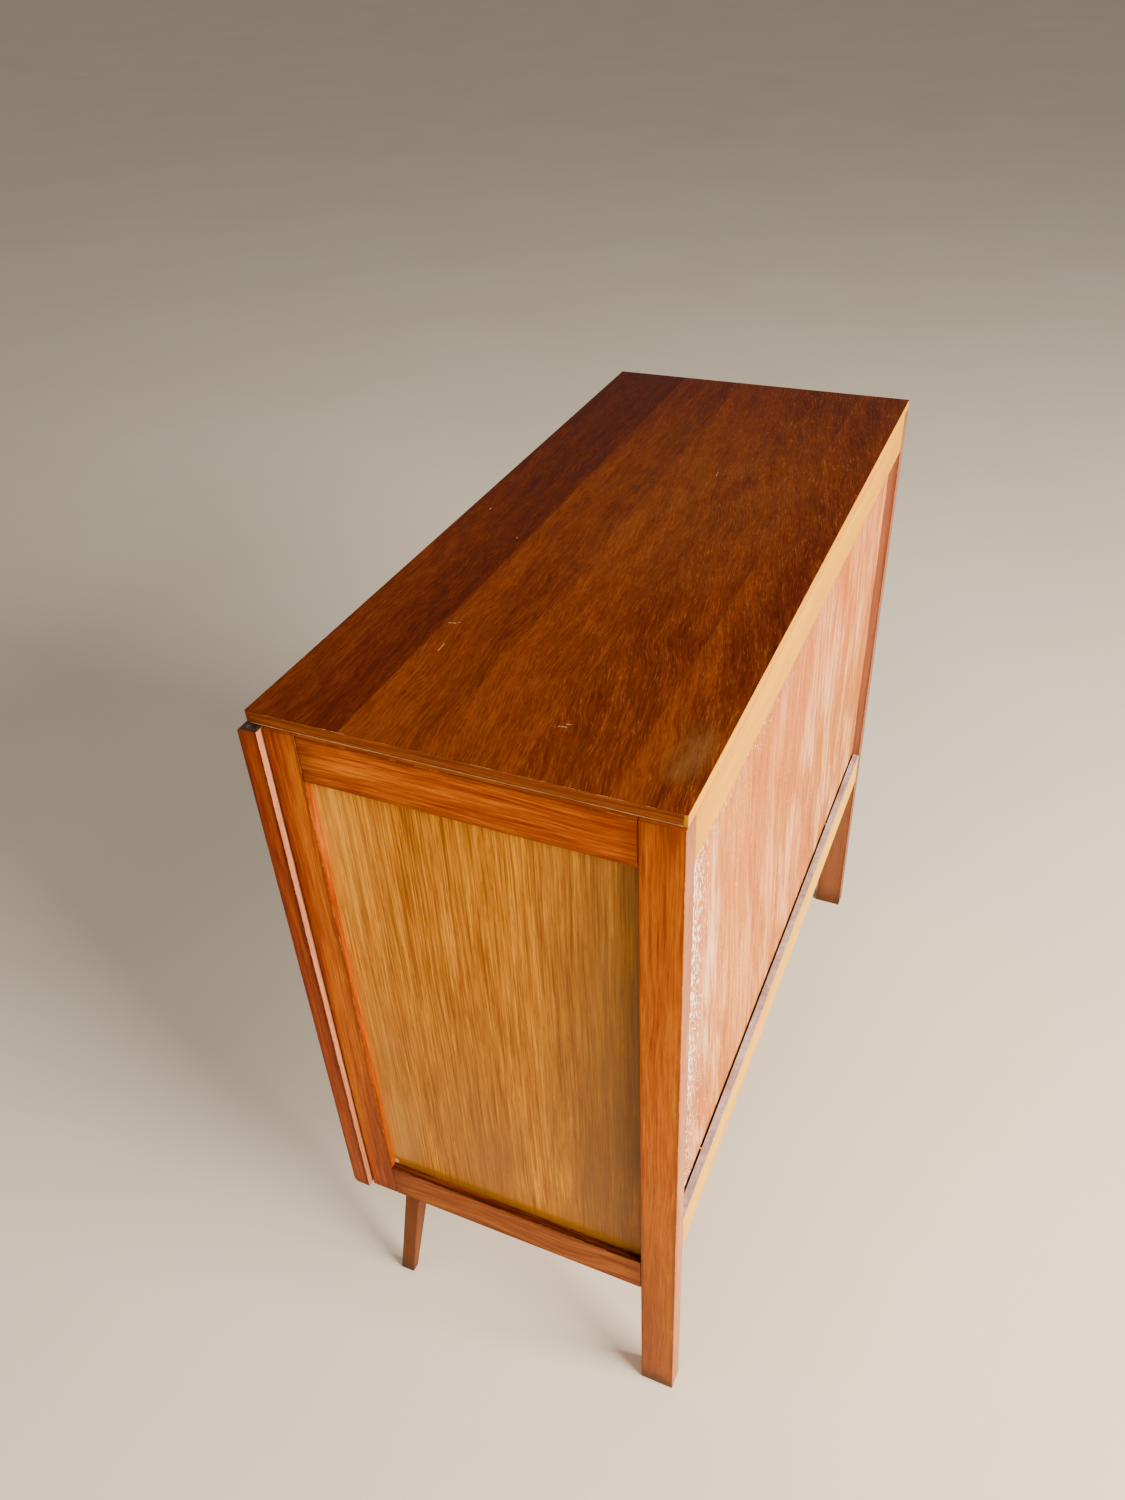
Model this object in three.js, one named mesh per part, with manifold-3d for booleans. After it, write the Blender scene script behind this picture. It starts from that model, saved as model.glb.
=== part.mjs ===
// A sewing table of the 1950s or 60s: a slim cabinet that holds a machine.
// The lid folds over to the left, and the door opens left and carries it.
// Millimetres. +X is the right end seen from the front, -Y the front, +Z up.
// The origin is on the floor, under the middle of the table's box.
import * as THREE from 'three';
import { mergeVertices } from 'three/addons/utils/BufferGeometryUtils.js';
import Module from 'manifold-3d';

const wasm = await Module();
wasm.setup();

// ---- Driving dimensions ----
const tableHeight = 762;
const tableLength = 780;
const tableDepth = 345.5;
const gap = 0.3; // between pieces that touch

const lidLength = 764;
const lidDepth = 341;
const lidThickness = 11;
const lidBackingThickness = 1;
const lippingWidth = 3;

const doorThickness = 17.5;
const doorBackingThickness = 1.5;
const doorBottom = 175;
const doorCornerRadius = 6;
const doorToFrame = 2;

const frameLength = 770;
const memberThickness = 20;
const rearLegWidth = 33.5;
const frontStileWidth = 27.7;
const railHeight = 42;
const endFrameBottom = 174;
const backRailBottom = 236;
const frontRailBottom = 181;
const tenonThickness = 8;
const endTenonLength = 12;
const crossTenonLength = 8;

const endPanelThickness = 6;
const endPanelRecess = 7.5;
const backPanelThickness = 4;
const backPanelRecess = 9.5;
const panelHousing = 6;
const backPanelClearance = 1.5; // open line in front of the back panel

const platformThickness = 12;
const cleatWidth = 20;
const shelfThickness = 12;
const machineWellLeft = -60;
const machineWellWidth = 370;
const machineWellDepth = 242;
const flapDepth = 61;

const legFootLength = 10;
const legTopLength = 25;
const legWidth = 16;
const legSplay = THREE.MathUtils.degToRad(10);
const legInset = 9;
const legFootInset = 2;

const barrelRadius = 2.5;
const pinRadius = 1.1;
const boreRadius = 1.4;
const leafThickness = 1.6;
const lidHingeLength = 40;
const doorHingeLength = 50;

// ---- Levels and planes that follow from them ----
const back = tableDepth / 2;
const doorFront = -tableDepth / 2;
const doorRear = doorFront + doorThickness;
const frameFront = doorRear + doorToFrame;
const frameEnd = frameLength / 2;
const frameInside = frameEnd - memberThickness;
const lidUnderside = tableHeight - lidThickness;
const frameTop = lidUnderside - gap;
const topRailBottom = frameTop - railHeight;
const endRailTop = endFrameBottom + railHeight + 0.5;
const backRailTop = backRailBottom + railHeight + 2;
const frontRailTop = frontRailBottom + railHeight;
const stileRear = frameFront + frontStileWidth;
const legFront = back - rearLegWidth;
const crossRailRear = frameFront + memberThickness;
const backRailFront = back - memberThickness;
const platformTop = frameTop - gap;
const platformBottom = platformTop - platformThickness;
const cleatTop = platformBottom - gap;
const shelfBottom = frontRailTop + gap;
const shelfTop = shelfBottom + shelfThickness;
const wellRight = machineWellLeft + machineWellWidth;
const wellFront = -112;
const wellBack = wellFront + machineWellDepth;
const flapBack = wellFront + flapDepth;
const hingeX = -tableLength / 2 + barrelRadius;
const lidHingeZ = tableHeight - lidThickness / 2;
const doorHingeY = doorRear + doorToFrame / 2;
const doorTop = lidUnderside - 1;
const doorLeft = -frameEnd + gap;
const doorRight = tableLength / 2;

// ---- Materials ----
function look(color, roughness, metalness = 0) {
  return new THREE.MeshStandardMaterial({ color, roughness, metalness });
}
const looks = {
  topVeneer: () => look(0x7c3d0e, 0.38),
  frameWood: () => look(0xb4550f, 0.42),
  legWood: () => look(0x9c4d24, 0.45),
  oakPanel: () => look(0xb67a2c, 0.4),
  paleWood: () => look(0xe6b478, 0.55),
  hardboard: () => look(0xb87f5c, 0.7),
  plainPly: () => look(0xc99a62, 0.65),
  brass: () => look(0xb59a55, 0.35, 1),
  steel: () => look(0x9a9a98, 0.35, 1),
};

// ---- Solids ----
const table = new THREE.Group();

// A closed geometry as a solid that can be cut and joined.
function solidOf(geometry) {
  const bare = geometry.clone();
  bare.deleteAttribute('normal');
  bare.deleteAttribute('uv');
  const merged = mergeVertices(bare, 1e-4);
  const vertProperties = new Float32Array(merged.attributes.position.array);
  const triVerts = new Uint32Array(merged.index.array);
  return new wasm.Manifold(new wasm.Mesh({ numProp: 3, vertProperties, triVerts }));
}

function geometryOf(solid) {
  const mesh = solid.getMesh();
  const geometry = new THREE.BufferGeometry();
  geometry.setAttribute('position', new THREE.BufferAttribute(mesh.vertProperties, 3));
  geometry.setIndex(new THREE.BufferAttribute(mesh.triVerts, 1));
  geometry.computeVertexNormals();
  return geometry;
}

// A block is [x0, x1, y0, y1, z0, z1].
function blockCentre([x0, x1, y0, y1, z0, z1]) {
  return new THREE.Vector3((x0 + x1) / 2, (y0 + y1) / 2, (z0 + z1) / 2);
}

function blockSolid(block, origin) {
  const [x0, x1, y0, y1, z0, z1] = block;
  const centre = blockCentre(block).sub(origin);
  const geometry = new THREE.BoxGeometry(x1 - x0, y1 - y0, z1 - z0);
  geometry.translate(centre.x, centre.y, centre.z);
  return solidOf(geometry);
}

// A round bar along an axis, 'x', 'y' or 'z', between two places on it.
function barSolid(axis, from, to, radius, centre, sides = 20) {
  const geometry = new THREE.CylinderGeometry(radius, radius, to - from, sides);
  if (axis === 'x') geometry.rotateZ(-Math.PI / 2);
  if (axis === 'z') geometry.rotateX(Math.PI / 2);
  const place = centre.clone();
  place[axis] += (from + to) / 2;
  geometry.translate(place.x, place.y, place.z);
  return solidOf(geometry);
}

function addMesh(name, geometry, material, position) {
  const mesh = new THREE.Mesh(geometry, material);
  mesh.name = name;
  mesh.position.copy(position);
  table.add(mesh);
}

// A board, with the tenons that stand out of it and the recesses cut in it.
function addBoard(name, material, block, { tenons = [], recesses = [] } = {}) {
  const centre = blockCentre(block);
  let solid = blockSolid(block, centre);
  for (const tenon of tenons) solid = solid.add(blockSolid(tenon, centre));
  for (const recess of recesses) solid = solid.subtract(blockSolid(recess, centre));
  addMesh(name, geometryOf(solid), material, centre);
}

// The same block with room around it, for a recess that takes a piece.
function roomAround([x0, x1, y0, y1, z0, z1]) {
  return [x0 - gap, x1 + gap, y0 - gap, y1 + gap, z0 - gap, z1 + gap];
}

// A block given for the right end, mirrored for the left end.
function atSide(side, [x0, x1, y0, y1, z0, z1]) {
  return side > 0 ? [x0, x1, y0, y1, z0, z1] : [-x1, -x0, y0, y1, z0, z1];
}

// ---- Tenons of the frame ----
const memberMiddle = frameEnd - memberThickness / 2;
const frontMiddle = (frameFront + crossRailRear) / 2;
const backMiddle = (back + backRailFront) / 2;
const half = tenonThickness / 2;
const topTenonZ = [topRailBottom + 9, frameTop - 6];
const endTenonZ = [endFrameBottom + 6, endRailTop - 9];

const endTenons = (z) => [
  [memberMiddle - half, memberMiddle + half, stileRear - endTenonLength, stileRear + 1, ...z],
  [memberMiddle - half, memberMiddle + half, legFront - 1, legFront + endTenonLength, ...z],
];
const crossTenon = (side, y, z0, z1) => atSide(side, [
  frameInside - 1, frameInside + crossTenonLength, y - half, y + half, z0 + 8, z1 - 8,
]);

// ---- Hinges ----
// Leaves and barrel of a butt hinge. 'out' lists the knuckles of each leaf.
const lidHingeYs = { front: -85, back: 100 };
const doorHingeZs = { bottom: 262, top: 640 };

function knuckles(axis, centre, spans) {
  let solid = null;
  for (const [from, to] of spans) {
    const tube = barSolid(axis, from, to, barrelRadius, centre);
    solid = solid ? solid.add(tube) : tube;
  }
  return solid;
}

function thirds(length) {
  const edge = length / 6;
  return {
    outer: [[-length / 2, -edge - gap / 2], [edge + gap / 2, length / 2]],
    inner: [[-edge + gap / 2, edge - gap / 2]],
  };
}

function lidLeafBlocks(y) {
  const w = lidHingeLength / 2;
  return {
    fixed: [-frameEnd, -frameEnd + leafThickness, y - w, y + w, frameTop - 34, frameTop],
    moving: [-lidLength / 2, -lidLength / 2 + 34, y - w, y + w,
      lidUnderside + 0.1, lidUnderside + 0.1 + leafThickness],
  };
}

function lidHinge(name, y) {
  const centre = new THREE.Vector3(hingeX, y, lidHingeZ);
  const origin = centre.clone();
  const local = new THREE.Vector3();
  const { outer, inner } = thirds(lidHingeLength);
  const bore = barSolid('y', -lidHingeLength, lidHingeLength, boreRadius, local);
  const blocks = lidLeafBlocks(y);
  const strap = leafThickness / 2;

  let fixed = knuckles('y', local, outer).add(blockSolid(blocks.fixed, origin));
  for (const [from, to] of outer) {
    const rise = [-frameEnd, -frameEnd + leafThickness, y + from, y + to, frameTop - 1, lidHingeZ + strap];
    const bridge = [hingeX, -frameEnd + leafThickness, y + from, y + to, lidHingeZ - strap, lidHingeZ + strap];
    fixed = fixed.add(blockSolid(rise, origin)).add(blockSolid(bridge, origin));
  }
  addMesh(`${name}_fixed_leaf`, geometryOf(fixed.subtract(bore)), looks.brass(), centre);

  const [[from, to]] = inner;
  const webX = -lidLength / 2 - leafThickness;
  const web = [webX, -lidLength / 2 - gap, y + from, y + to, lidUnderside + 0.1, lidHingeZ + strap];
  const bridge = [hingeX, -lidLength / 2 - gap, y + from, y + to, lidHingeZ - strap, lidHingeZ + strap];
  const [, , , , z0, z1] = blocks.moving;
  const foot = [webX, -lidLength / 2 + 1, y + from, y + to, z0, z1];
  let moving = knuckles('y', local, inner).add(blockSolid(blocks.moving, origin));
  for (const block of [web, bridge, foot]) moving = moving.add(blockSolid(block, origin));
  addMesh(`${name}_moving_leaf`, geometryOf(moving.subtract(bore)), looks.brass(), centre);

  const pin = barSolid('y', -lidHingeLength / 2, lidHingeLength / 2, pinRadius, local);
  addMesh(`${name}_pin`, geometryOf(pin), looks.steel(), centre);
}

function doorLeafBlocks(z) {
  const w = doorHingeLength / 2;
  const free = barrelRadius + 0.4;
  return {
    fixed: [hingeX + free, -frameInside - 3, frameFront, frameFront + leafThickness, z - w, z + w],
    moving: [hingeX + free, -frameInside - 3, doorRear - leafThickness, doorRear, z - w, z + w],
  };
}

// A recess for a door leaf runs out past the end of the frame or door.
function doorLeafRoom(block) {
  const [, x1, y0, y1, z0, z1] = roomAround(block);
  return [-frameEnd - 1, x1, y0, y1, z0, z1];
}

function doorHinge(name, z) {
  const centre = new THREE.Vector3(hingeX, doorHingeY, z);
  const origin = centre.clone();
  const local = new THREE.Vector3();
  const { outer, inner } = thirds(doorHingeLength);
  const bore = barSolid('z', -doorHingeLength, doorHingeLength, boreRadius, local);
  const blocks = doorLeafBlocks(z);

  const build = (block, spans) => {
    let solid = knuckles('z', local, spans).add(blockSolid(block, origin));
    const [, x1, y0, y1] = block;
    for (const [from, to] of spans) {
      solid = solid.add(blockSolid([hingeX, x1 - 1, y0, y1, z + from, z + to], origin));
    }
    return geometryOf(solid.subtract(bore));
  };
  addMesh(`${name}_frame_leaf`, build(blocks.fixed, outer), looks.brass(), centre);
  addMesh(`${name}_door_leaf`, build(blocks.moving, inner), looks.brass(), centre);
  const pin = barSolid('z', -doorHingeLength / 2, doorHingeLength / 2, pinRadius, local);
  addMesh(`${name}_pin`, geometryOf(pin), looks.steel(), centre);
}

// ---- End frames ----
const endPanel = [
  frameEnd - endPanelRecess - endPanelThickness, frameEnd - endPanelRecess,
  stileRear - panelHousing, legFront + panelHousing,
  endRailTop - panelHousing, topRailBottom + panelHousing,
];
const backPanel = [
  -frameInside - panelHousing, frameInside + panelHousing,
  back - backPanelRecess - backPanelThickness, back - backPanelRecess,
  backRailTop - panelHousing, topRailBottom + panelHousing,
];

function addEndFrame(name, side) {
  const place = (block) => atSide(side, block);
  const panelRoom = place(roomAround(endPanel));
  const backRoom = roomAround(backPanel);
  const endMortises = [...endTenons(topTenonZ), ...endTenons(endTenonZ)].map(roomAround).map(place);
  const crossMortise = (...where) => roomAround(crossTenon(side, ...where));
  const hingeRoom = side > 0 ? [] : Object.values(doorHingeZs).map((z) => doorLeafRoom(doorLeafBlocks(z).fixed));
  const lidHingeRoom = side > 0 ? [] : Object.values(lidHingeYs).map((y) => roomAround(lidLeafBlocks(y).fixed));

  addBoard(`${name}_rear_leg`, looks.frameWood(),
    place([frameInside, frameEnd, legFront, back, 0, frameTop]),
    { recesses: [panelRoom, backRoom, ...endMortises,
      crossMortise(backMiddle, topRailBottom, frameTop),
      crossMortise(backMiddle, backRailBottom, backRailTop)] });
  addBoard(`${name}_front_stile`, looks.frameWood(),
    place([frameInside, frameEnd, frameFront, stileRear, endFrameBottom, frameTop]),
    { recesses: [panelRoom, ...endMortises, ...hingeRoom,
      crossMortise(frontMiddle, topRailBottom, frameTop),
      crossMortise(frontMiddle, frontRailBottom, frontRailTop)] });
  addBoard(`${name}_top_rail`, looks.frameWood(),
    place([frameInside, frameEnd, stileRear + gap, legFront - gap, topRailBottom, frameTop]),
    { tenons: endTenons(topTenonZ).map(place), recesses: [panelRoom, ...lidHingeRoom] });
  addBoard(`${name}_bottom_rail`, looks.frameWood(),
    place([frameInside, frameEnd, stileRear + gap, legFront - gap, endFrameBottom, endRailTop]),
    { tenons: endTenons(endTenonZ).map(place), recesses: [panelRoom] });
  addBoard(`${name}_panel`, looks.oakPanel(), place(endPanel));
}

// ---- Rails and panel between the end frames ----
function addCrossRail(name, material, y, y0, y1, z0, z1, recesses = []) {
  const tenons = [crossTenon(1, y, z0, z1), crossTenon(-1, y, z0, z1)];
  const reach = frameInside - gap;
  addBoard(name, material, [-reach, reach, y0, y1, z0, z1], { tenons, recesses });
}

function addCrossMembers() {
  const [x0, x1, y0, y1, z0, z1] = roomAround(backPanel);
  const openLine = [x0, x1, y0, y1 + backPanelClearance, z0, z1];
  addCrossRail('back_top_rail', looks.paleWood(), backMiddle,
    backRailFront, back, topRailBottom, frameTop, [roomAround(backPanel)]);
  addCrossRail('back_bottom_rail', looks.paleWood(), backMiddle,
    backRailFront, back, backRailBottom, backRailTop, [openLine]);
  addBoard('back_panel', looks.hardboard(), backPanel);
  addCrossRail('front_top_rail', looks.frameWood(), frontMiddle,
    frameFront, crossRailRear, topRailBottom, frameTop);
  addCrossRail('front_bottom_rail', looks.frameWood(), frontMiddle,
    frameFront, crossRailRear, frontRailBottom, frontRailTop);
}

// ---- Shelf, platform and what carries them ----
function addShelf() {
  const reach = frameInside - gap;
  for (const [name, side] of [['right', 1], ['left', -1]]) {
    addBoard(`shelf_batten_${name}`, looks.plainPly(),
      atSide(side, [reach - cleatWidth, reach, crossRailRear + gap, legFront, frontRailTop - 24, frontRailTop]));
  }
  addBoard('bottom_shelf', looks.plainPly(),
    [-reach, reach, frameFront + 1, back - 12, shelfBottom, shelfTop]);
}

function addPlatform() {
  const reach = frameInside - gap;
  const front = crossRailRear + gap;
  const rear = backRailFront - gap;
  for (const [name, side] of [['right', 1], ['left', -1]]) {
    addBoard(`platform_cleat_${name}`, looks.plainPly(),
      atSide(side, [reach - cleatWidth, reach, front, rear, cleatTop - 20, cleatTop]));
  }
  const between = reach - cleatWidth - gap;
  addBoard('platform_cleat_back', looks.plainPly(),
    [-between, between, rear - cleatWidth, rear, cleatTop - 20, cleatTop]);
  const well = [machineWellLeft, wellRight, wellFront, wellBack, platformBottom - 1, platformTop + 1];
  const fittings = machineHingeXs.map(machinePlateRoom);
  addBoard('machine_platform', looks.topVeneer(),
    [-reach, reach, front, rear, platformBottom, platformTop], { recesses: [well, ...fittings] });
}

// ---- Flap in front of the machine, with its strip hinge ----
function addFlap() {
  const clear = 0.6;
  addBoard('front_flap', looks.topVeneer(),
    [machineWellLeft + clear, wellRight - clear, wellFront + clear, flapBack, platformBottom, platformTop]);
  const radius = 1.8;
  const x0 = machineWellLeft + 8;
  const x1 = wellRight - 8;
  const centre = new THREE.Vector3((x0 + x1) / 2, wellFront + clear / 2, platformBottom - gap - radius);
  const local = new THREE.Vector3();
  const length = x1 - x0;
  const leafTop = platformBottom - gap;
  const leafBottom = leafTop - 1.1;
  const free = radius + 0.3;
  const leafWidth = 12;
  const { outer, inner } = thirds(length);
  const bore = barSolid('x', -length, length, 1.0, local, 12);

  const leaf = (y0, y1, toBarrel, spans) => {
    let solid = blockSolid([x0, x1, y0, y1, leafBottom, leafTop], centre);
    for (const [from, to] of spans) {
      const [near, far] = toBarrel;
      solid = solid.add(barSolid('x', from, to, radius, local, 16));
      solid = solid.add(blockSolid([centre.x + from, centre.x + to, near, far, leafBottom, leafTop], centre));
    }
    return geometryOf(solid.subtract(bore));
  };
  const y = centre.y;
  addMesh('flap_hinge_fixed_leaf', leaf(y - leafWidth, y - free, [y - free - 1, y], outer), looks.brass(), centre);
  addMesh('flap_hinge_moving_leaf', leaf(y + free, y + leafWidth, [y, y + free + 1], inner), looks.brass(), centre);
  const pin = barSolid('x', -length / 2, length / 2, 0.7, local, 12);
  addMesh('flap_hinge_pin', geometryOf(pin), looks.steel(), centre);
}

// ---- The two fittings that the sewing machine hangs on ----
const machineHingeXs = [15, 235];

function machinePlateBlock(x) {
  return [x - 15, x + 15, wellBack + 2, wellBack + 19, platformTop - 2, platformTop - 0.2];
}

// Its recess runs out into the machine's well.
function machinePlateRoom(x) {
  const [x0, x1, , y1, z0, z1] = roomAround(machinePlateBlock(x));
  return [x0, x1, wellBack - 1, y1, z0, z1];
}

function addMachineHinge(name, x) {
  const radius = 3;
  const centre = new THREE.Vector3(x, wellBack - radius - 0.5, platformTop - radius - 0.6);
  const local = new THREE.Vector3();
  const [x0, x1, , , z0, z1] = machinePlateBlock(x);
  let plate = blockSolid(machinePlateBlock(x), centre);
  for (const [from, to] of [[-15, -9], [9, 15]]) {
    plate = plate.add(barSolid('x', from, to, radius, local));
    plate = plate.add(blockSolid([x + from, x + to, centre.y, wellBack + 3, z0, z1], centre));
  }
  plate = plate.subtract(barSolid('x', x0 - x - 1, x1 - x + 1, 1.7, local, 12));
  addMesh(`${name}_plate`, geometryOf(plate), looks.steel(), centre);

  const reach = centre.y - 17;
  let arm = barSolid('x', -8.7, 8.7, radius, local);
  arm = arm.add(barSolid('x', -14.5, 14.5, 1.4, local, 12));
  arm = arm.add(blockSolid([x - 8.7, x + 8.7, reach, centre.y, centre.z - 2.8, centre.z + 2.8], centre));
  arm = arm.add(barSolid('y', -33, -16, 2.6, local));
  addMesh(`${name}_arm`, geometryOf(arm), looks.steel(), centre);
}

// ---- Lid ----
function addLid() {
  const end = lidLength / 2;
  const front = back - lidDepth;
  const backingTop = lidUnderside + lidBackingThickness;
  const inset = lippingWidth + 0.05;
  const hingeRoom = Object.values(lidHingeYs).map((y) => roomAround(lidLeafBlocks(y).moving));
  addBoard('lid_board', looks.topVeneer(),
    [-end + inset, end - inset, front + inset, back - inset, backingTop + 0.05, tableHeight],
    { recesses: hingeRoom });
  addBoard('lid_backing', looks.paleWood(),
    [-end + inset, end - inset, front + inset, back - inset, lidUnderside, backingTop],
    { recesses: hingeRoom });
  const long = [-end, end];
  const short = [front + inset, back - inset];
  const height = [lidUnderside, tableHeight];
  addBoard('lid_lipping_front', looks.topVeneer(), [...long, front, front + lippingWidth, ...height]);
  addBoard('lid_lipping_back', looks.paleWood(), [...long, back - lippingWidth, back, ...height]);
  addBoard('lid_lipping_right', looks.topVeneer(), [end - lippingWidth, end, ...short, ...height]);
  addBoard('lid_lipping_left', looks.topVeneer(), [-end, -end + lippingWidth, ...short, ...height],
    { recesses: hingeRoom });
}

// ---- Door ----
// The door's outline seen from its end, with its bottom front edge rounded.
function doorProfile(frontY, rearY) {
  const shape = new THREE.Shape();
  const r = doorCornerRadius;
  shape.moveTo(rearY, doorBottom);
  shape.lineTo(rearY, doorTop);
  shape.lineTo(frontY, doorTop);
  shape.lineTo(frontY, doorBottom + r);
  shape.absarc(frontY + r, doorBottom + r, r, Math.PI, 1.5 * Math.PI, false);
  shape.closePath();
  return shape;
}

// The outline is drawn in Y and Z, and drawn out along X.
function doorSlab(x0, x1, frontY, rearY) {
  const geometry = new THREE.ExtrudeGeometry(doorProfile(frontY, rearY),
    { depth: x1 - x0, bevelEnabled: false, curveSegments: 6 });
  const drawn = new THREE.Matrix4().set(0, 0, 1, x0, 1, 0, 0, 0, 0, 1, 0, 0, 0, 0, 0, 1);
  geometry.applyMatrix4(drawn);
  return solidOf(geometry);
}

function addDoor() {
  const joint = 0.05;
  const boardRear = doorRear - doorBackingThickness - joint;
  const hingeRoom = Object.values(doorHingeZs).map((z) => doorLeafRoom(doorLeafBlocks(z).moving));
  const origin = new THREE.Vector3();
  const cut = (solid) => hingeRoom.reduce((rest, room) => rest.subtract(blockSolid(room, origin)), solid);
  const leftJoint = doorLeft + lippingWidth;
  const rightJoint = doorRight - lippingWidth;
  const board = doorSlab(leftJoint + joint, rightJoint - joint, doorFront, boardRear);
  addMesh('door_board', geometryOf(cut(board)), looks.frameWood(), origin);
  const left = doorSlab(doorLeft, leftJoint, doorFront, boardRear);
  addMesh('door_lipping_left', geometryOf(cut(left)), looks.frameWood(), origin);
  const right = doorSlab(rightJoint, doorRight, doorFront, boardRear);
  addMesh('door_lipping_right', geometryOf(right), looks.frameWood(), origin);
  addBoard('door_backing', looks.paleWood(),
    [doorLeft, doorRight, doorRear - doorBackingThickness, doorRear, doorBottom, doorTop],
    { recesses: hingeRoom });
}

// ---- What the door carries inside ----
function addDoorFittings() {
  const face = doorRear + gap;
  const origin = new THREE.Vector3(40, face, 600);
  let rack = blockSolid([-130, 210, face, face + 12, 585, 615], origin);
  for (let i = 0; i < 8; i += 1) {
    const foot = new THREE.Vector3(-148 + i * 42, 0, 0);
    rack = rack.add(barSolid('y', 10, 52, 3, foot, 12));
  }
  addMesh('spool_rack', geometryOf(rack), looks.plainPly(), origin);

  const tray = [-180, 200, face, face + 48, 330, 390];
  const wall = 6;
  const inside = [tray[0] + wall, tray[1] - wall, tray[2] + wall, tray[3] - wall, tray[4] + wall, tray[5] + 1];
  addBoard('door_tray', looks.plainPly(), tray, { recesses: [inside] });

  const strike = [352, 363, face, face + 1.2, 470, 500];
  addBoard('catch_strike', looks.steel(), strike);
  addBoard('catch_body', looks.steel(), [351, frameInside - gap, frameFront, frameFront + 16, 465, 505]);
}

// ---- Front legs: tapered, splayed forward, under the end frames ----
function addFrontLeg(name, side) {
  const height = endFrameBottom - gap;
  const outer = frameEnd - legInset;
  const footFront = doorFront + 21.5;
  const lean = Math.tan(legSplay) * height;
  const geometry = new THREE.BoxGeometry(1, 1, 1);
  const points = geometry.attributes.position;
  for (let i = 0; i < points.count; i += 1) {
    const atTop = points.getZ(i) > 0;
    const length = atTop ? legTopLength : legFootLength;
    const x = points.getX(i) > 0 ? outer : outer - length;
    const y = footFront + (points.getY(i) > 0 ? legWidth : 0) + (atTop ? lean : 0);
    points.setXYZ(i, x, y, atTop ? height : 0);
  }
  const solid = side > 0 ? solidOf(geometry) : solidOf(geometry).mirror([1, 0, 0]);
  addMesh(`front_leg_${name}`, geometryOf(solid), looks.legWood(), new THREE.Vector3());
  addBoard(`leg_block_${name}`, looks.plainPly(),
    atSide(side, [324, frameInside - gap, crossRailRear + gap, -80, endFrameBottom, frontRailTop - 24.3]));
}

addEndFrame('right', 1);
addEndFrame('left', -1);
addCrossMembers();
addShelf();
addPlatform();
addFlap();
addMachineHinge('machine_hinge_left', machineHingeXs[0]);
addMachineHinge('machine_hinge_right', machineHingeXs[1]);
addLid();
for (const [place, y] of Object.entries(lidHingeYs)) lidHinge(`lid_hinge_${place}`, y);
addDoor();
for (const [place, z] of Object.entries(doorHingeZs)) doorHinge(`door_hinge_${place}`, z);
addDoorFittings();
addFrontLeg('right', 1);
addFrontLeg('left', -1);

export default table;
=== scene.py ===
"""The looks of the sewing table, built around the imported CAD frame.

Metres, +Z up, -Y the front. Boards take their places from the CAD nodes' boxes.
"""

import functools
import math
import random

import bmesh
import bpy
from mathutils import Matrix, Vector, noise

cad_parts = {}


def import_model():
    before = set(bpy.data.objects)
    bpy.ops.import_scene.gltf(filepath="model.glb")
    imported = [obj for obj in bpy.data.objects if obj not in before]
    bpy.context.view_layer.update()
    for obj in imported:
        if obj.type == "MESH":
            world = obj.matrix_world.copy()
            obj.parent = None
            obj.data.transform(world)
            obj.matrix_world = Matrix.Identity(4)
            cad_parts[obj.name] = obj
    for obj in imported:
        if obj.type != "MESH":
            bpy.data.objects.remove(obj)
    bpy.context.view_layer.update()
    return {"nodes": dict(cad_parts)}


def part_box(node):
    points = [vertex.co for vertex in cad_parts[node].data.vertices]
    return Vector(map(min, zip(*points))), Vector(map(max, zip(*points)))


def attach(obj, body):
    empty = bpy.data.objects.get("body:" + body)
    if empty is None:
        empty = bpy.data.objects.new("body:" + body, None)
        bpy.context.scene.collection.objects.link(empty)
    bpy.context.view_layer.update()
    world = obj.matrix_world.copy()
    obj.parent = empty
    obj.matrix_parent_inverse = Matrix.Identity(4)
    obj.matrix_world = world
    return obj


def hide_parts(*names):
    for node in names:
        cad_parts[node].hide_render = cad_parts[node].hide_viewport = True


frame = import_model()

MM = 0.001
X, Y, Z = 0, 1, 2
rng = random.Random(5)


def low_of(node):
    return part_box(node)[0]


def high_of(node):
    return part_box(node)[1]


def add_object(name, data):
    piece = bpy.data.objects.new(name, data)
    bpy.context.scene.collection.objects.link(piece)
    return piece


def aim(piece, ahead, roll=0.0):
    """Turns a camera or lamp to look along a direction."""
    piece.rotation_mode = "QUATERNION"
    level = ahead.to_track_quat("-Z", "Y")
    piece.rotation_quaternion = Matrix.Rotation(roll, 3, ahead).to_quaternion() @ level


# ---------------------------------------------------------------- camera

def make_camera():
    """A phone's wide lens, above and behind the right end, rolled a little."""
    data = bpy.data.cameras.new("camera")
    data.sensor_fit = "AUTO"
    data.sensor_width = 36
    data.lens = 27.64
    data.clip_end = 100
    camera = add_object("camera", data)
    heading, pitch, roll = (math.radians(a) for a in (-154.51, -36.68, 3.18))
    level = math.cos(pitch)
    aim(camera, Vector((math.cos(heading) * level, math.sin(heading) * level, math.sin(pitch))), roll)
    camera.location = (0.9151, 0.3416, 1.2311)
    bpy.context.scene.camera = camera


# ---------------------------------------------------------------- shader graphs

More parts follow.
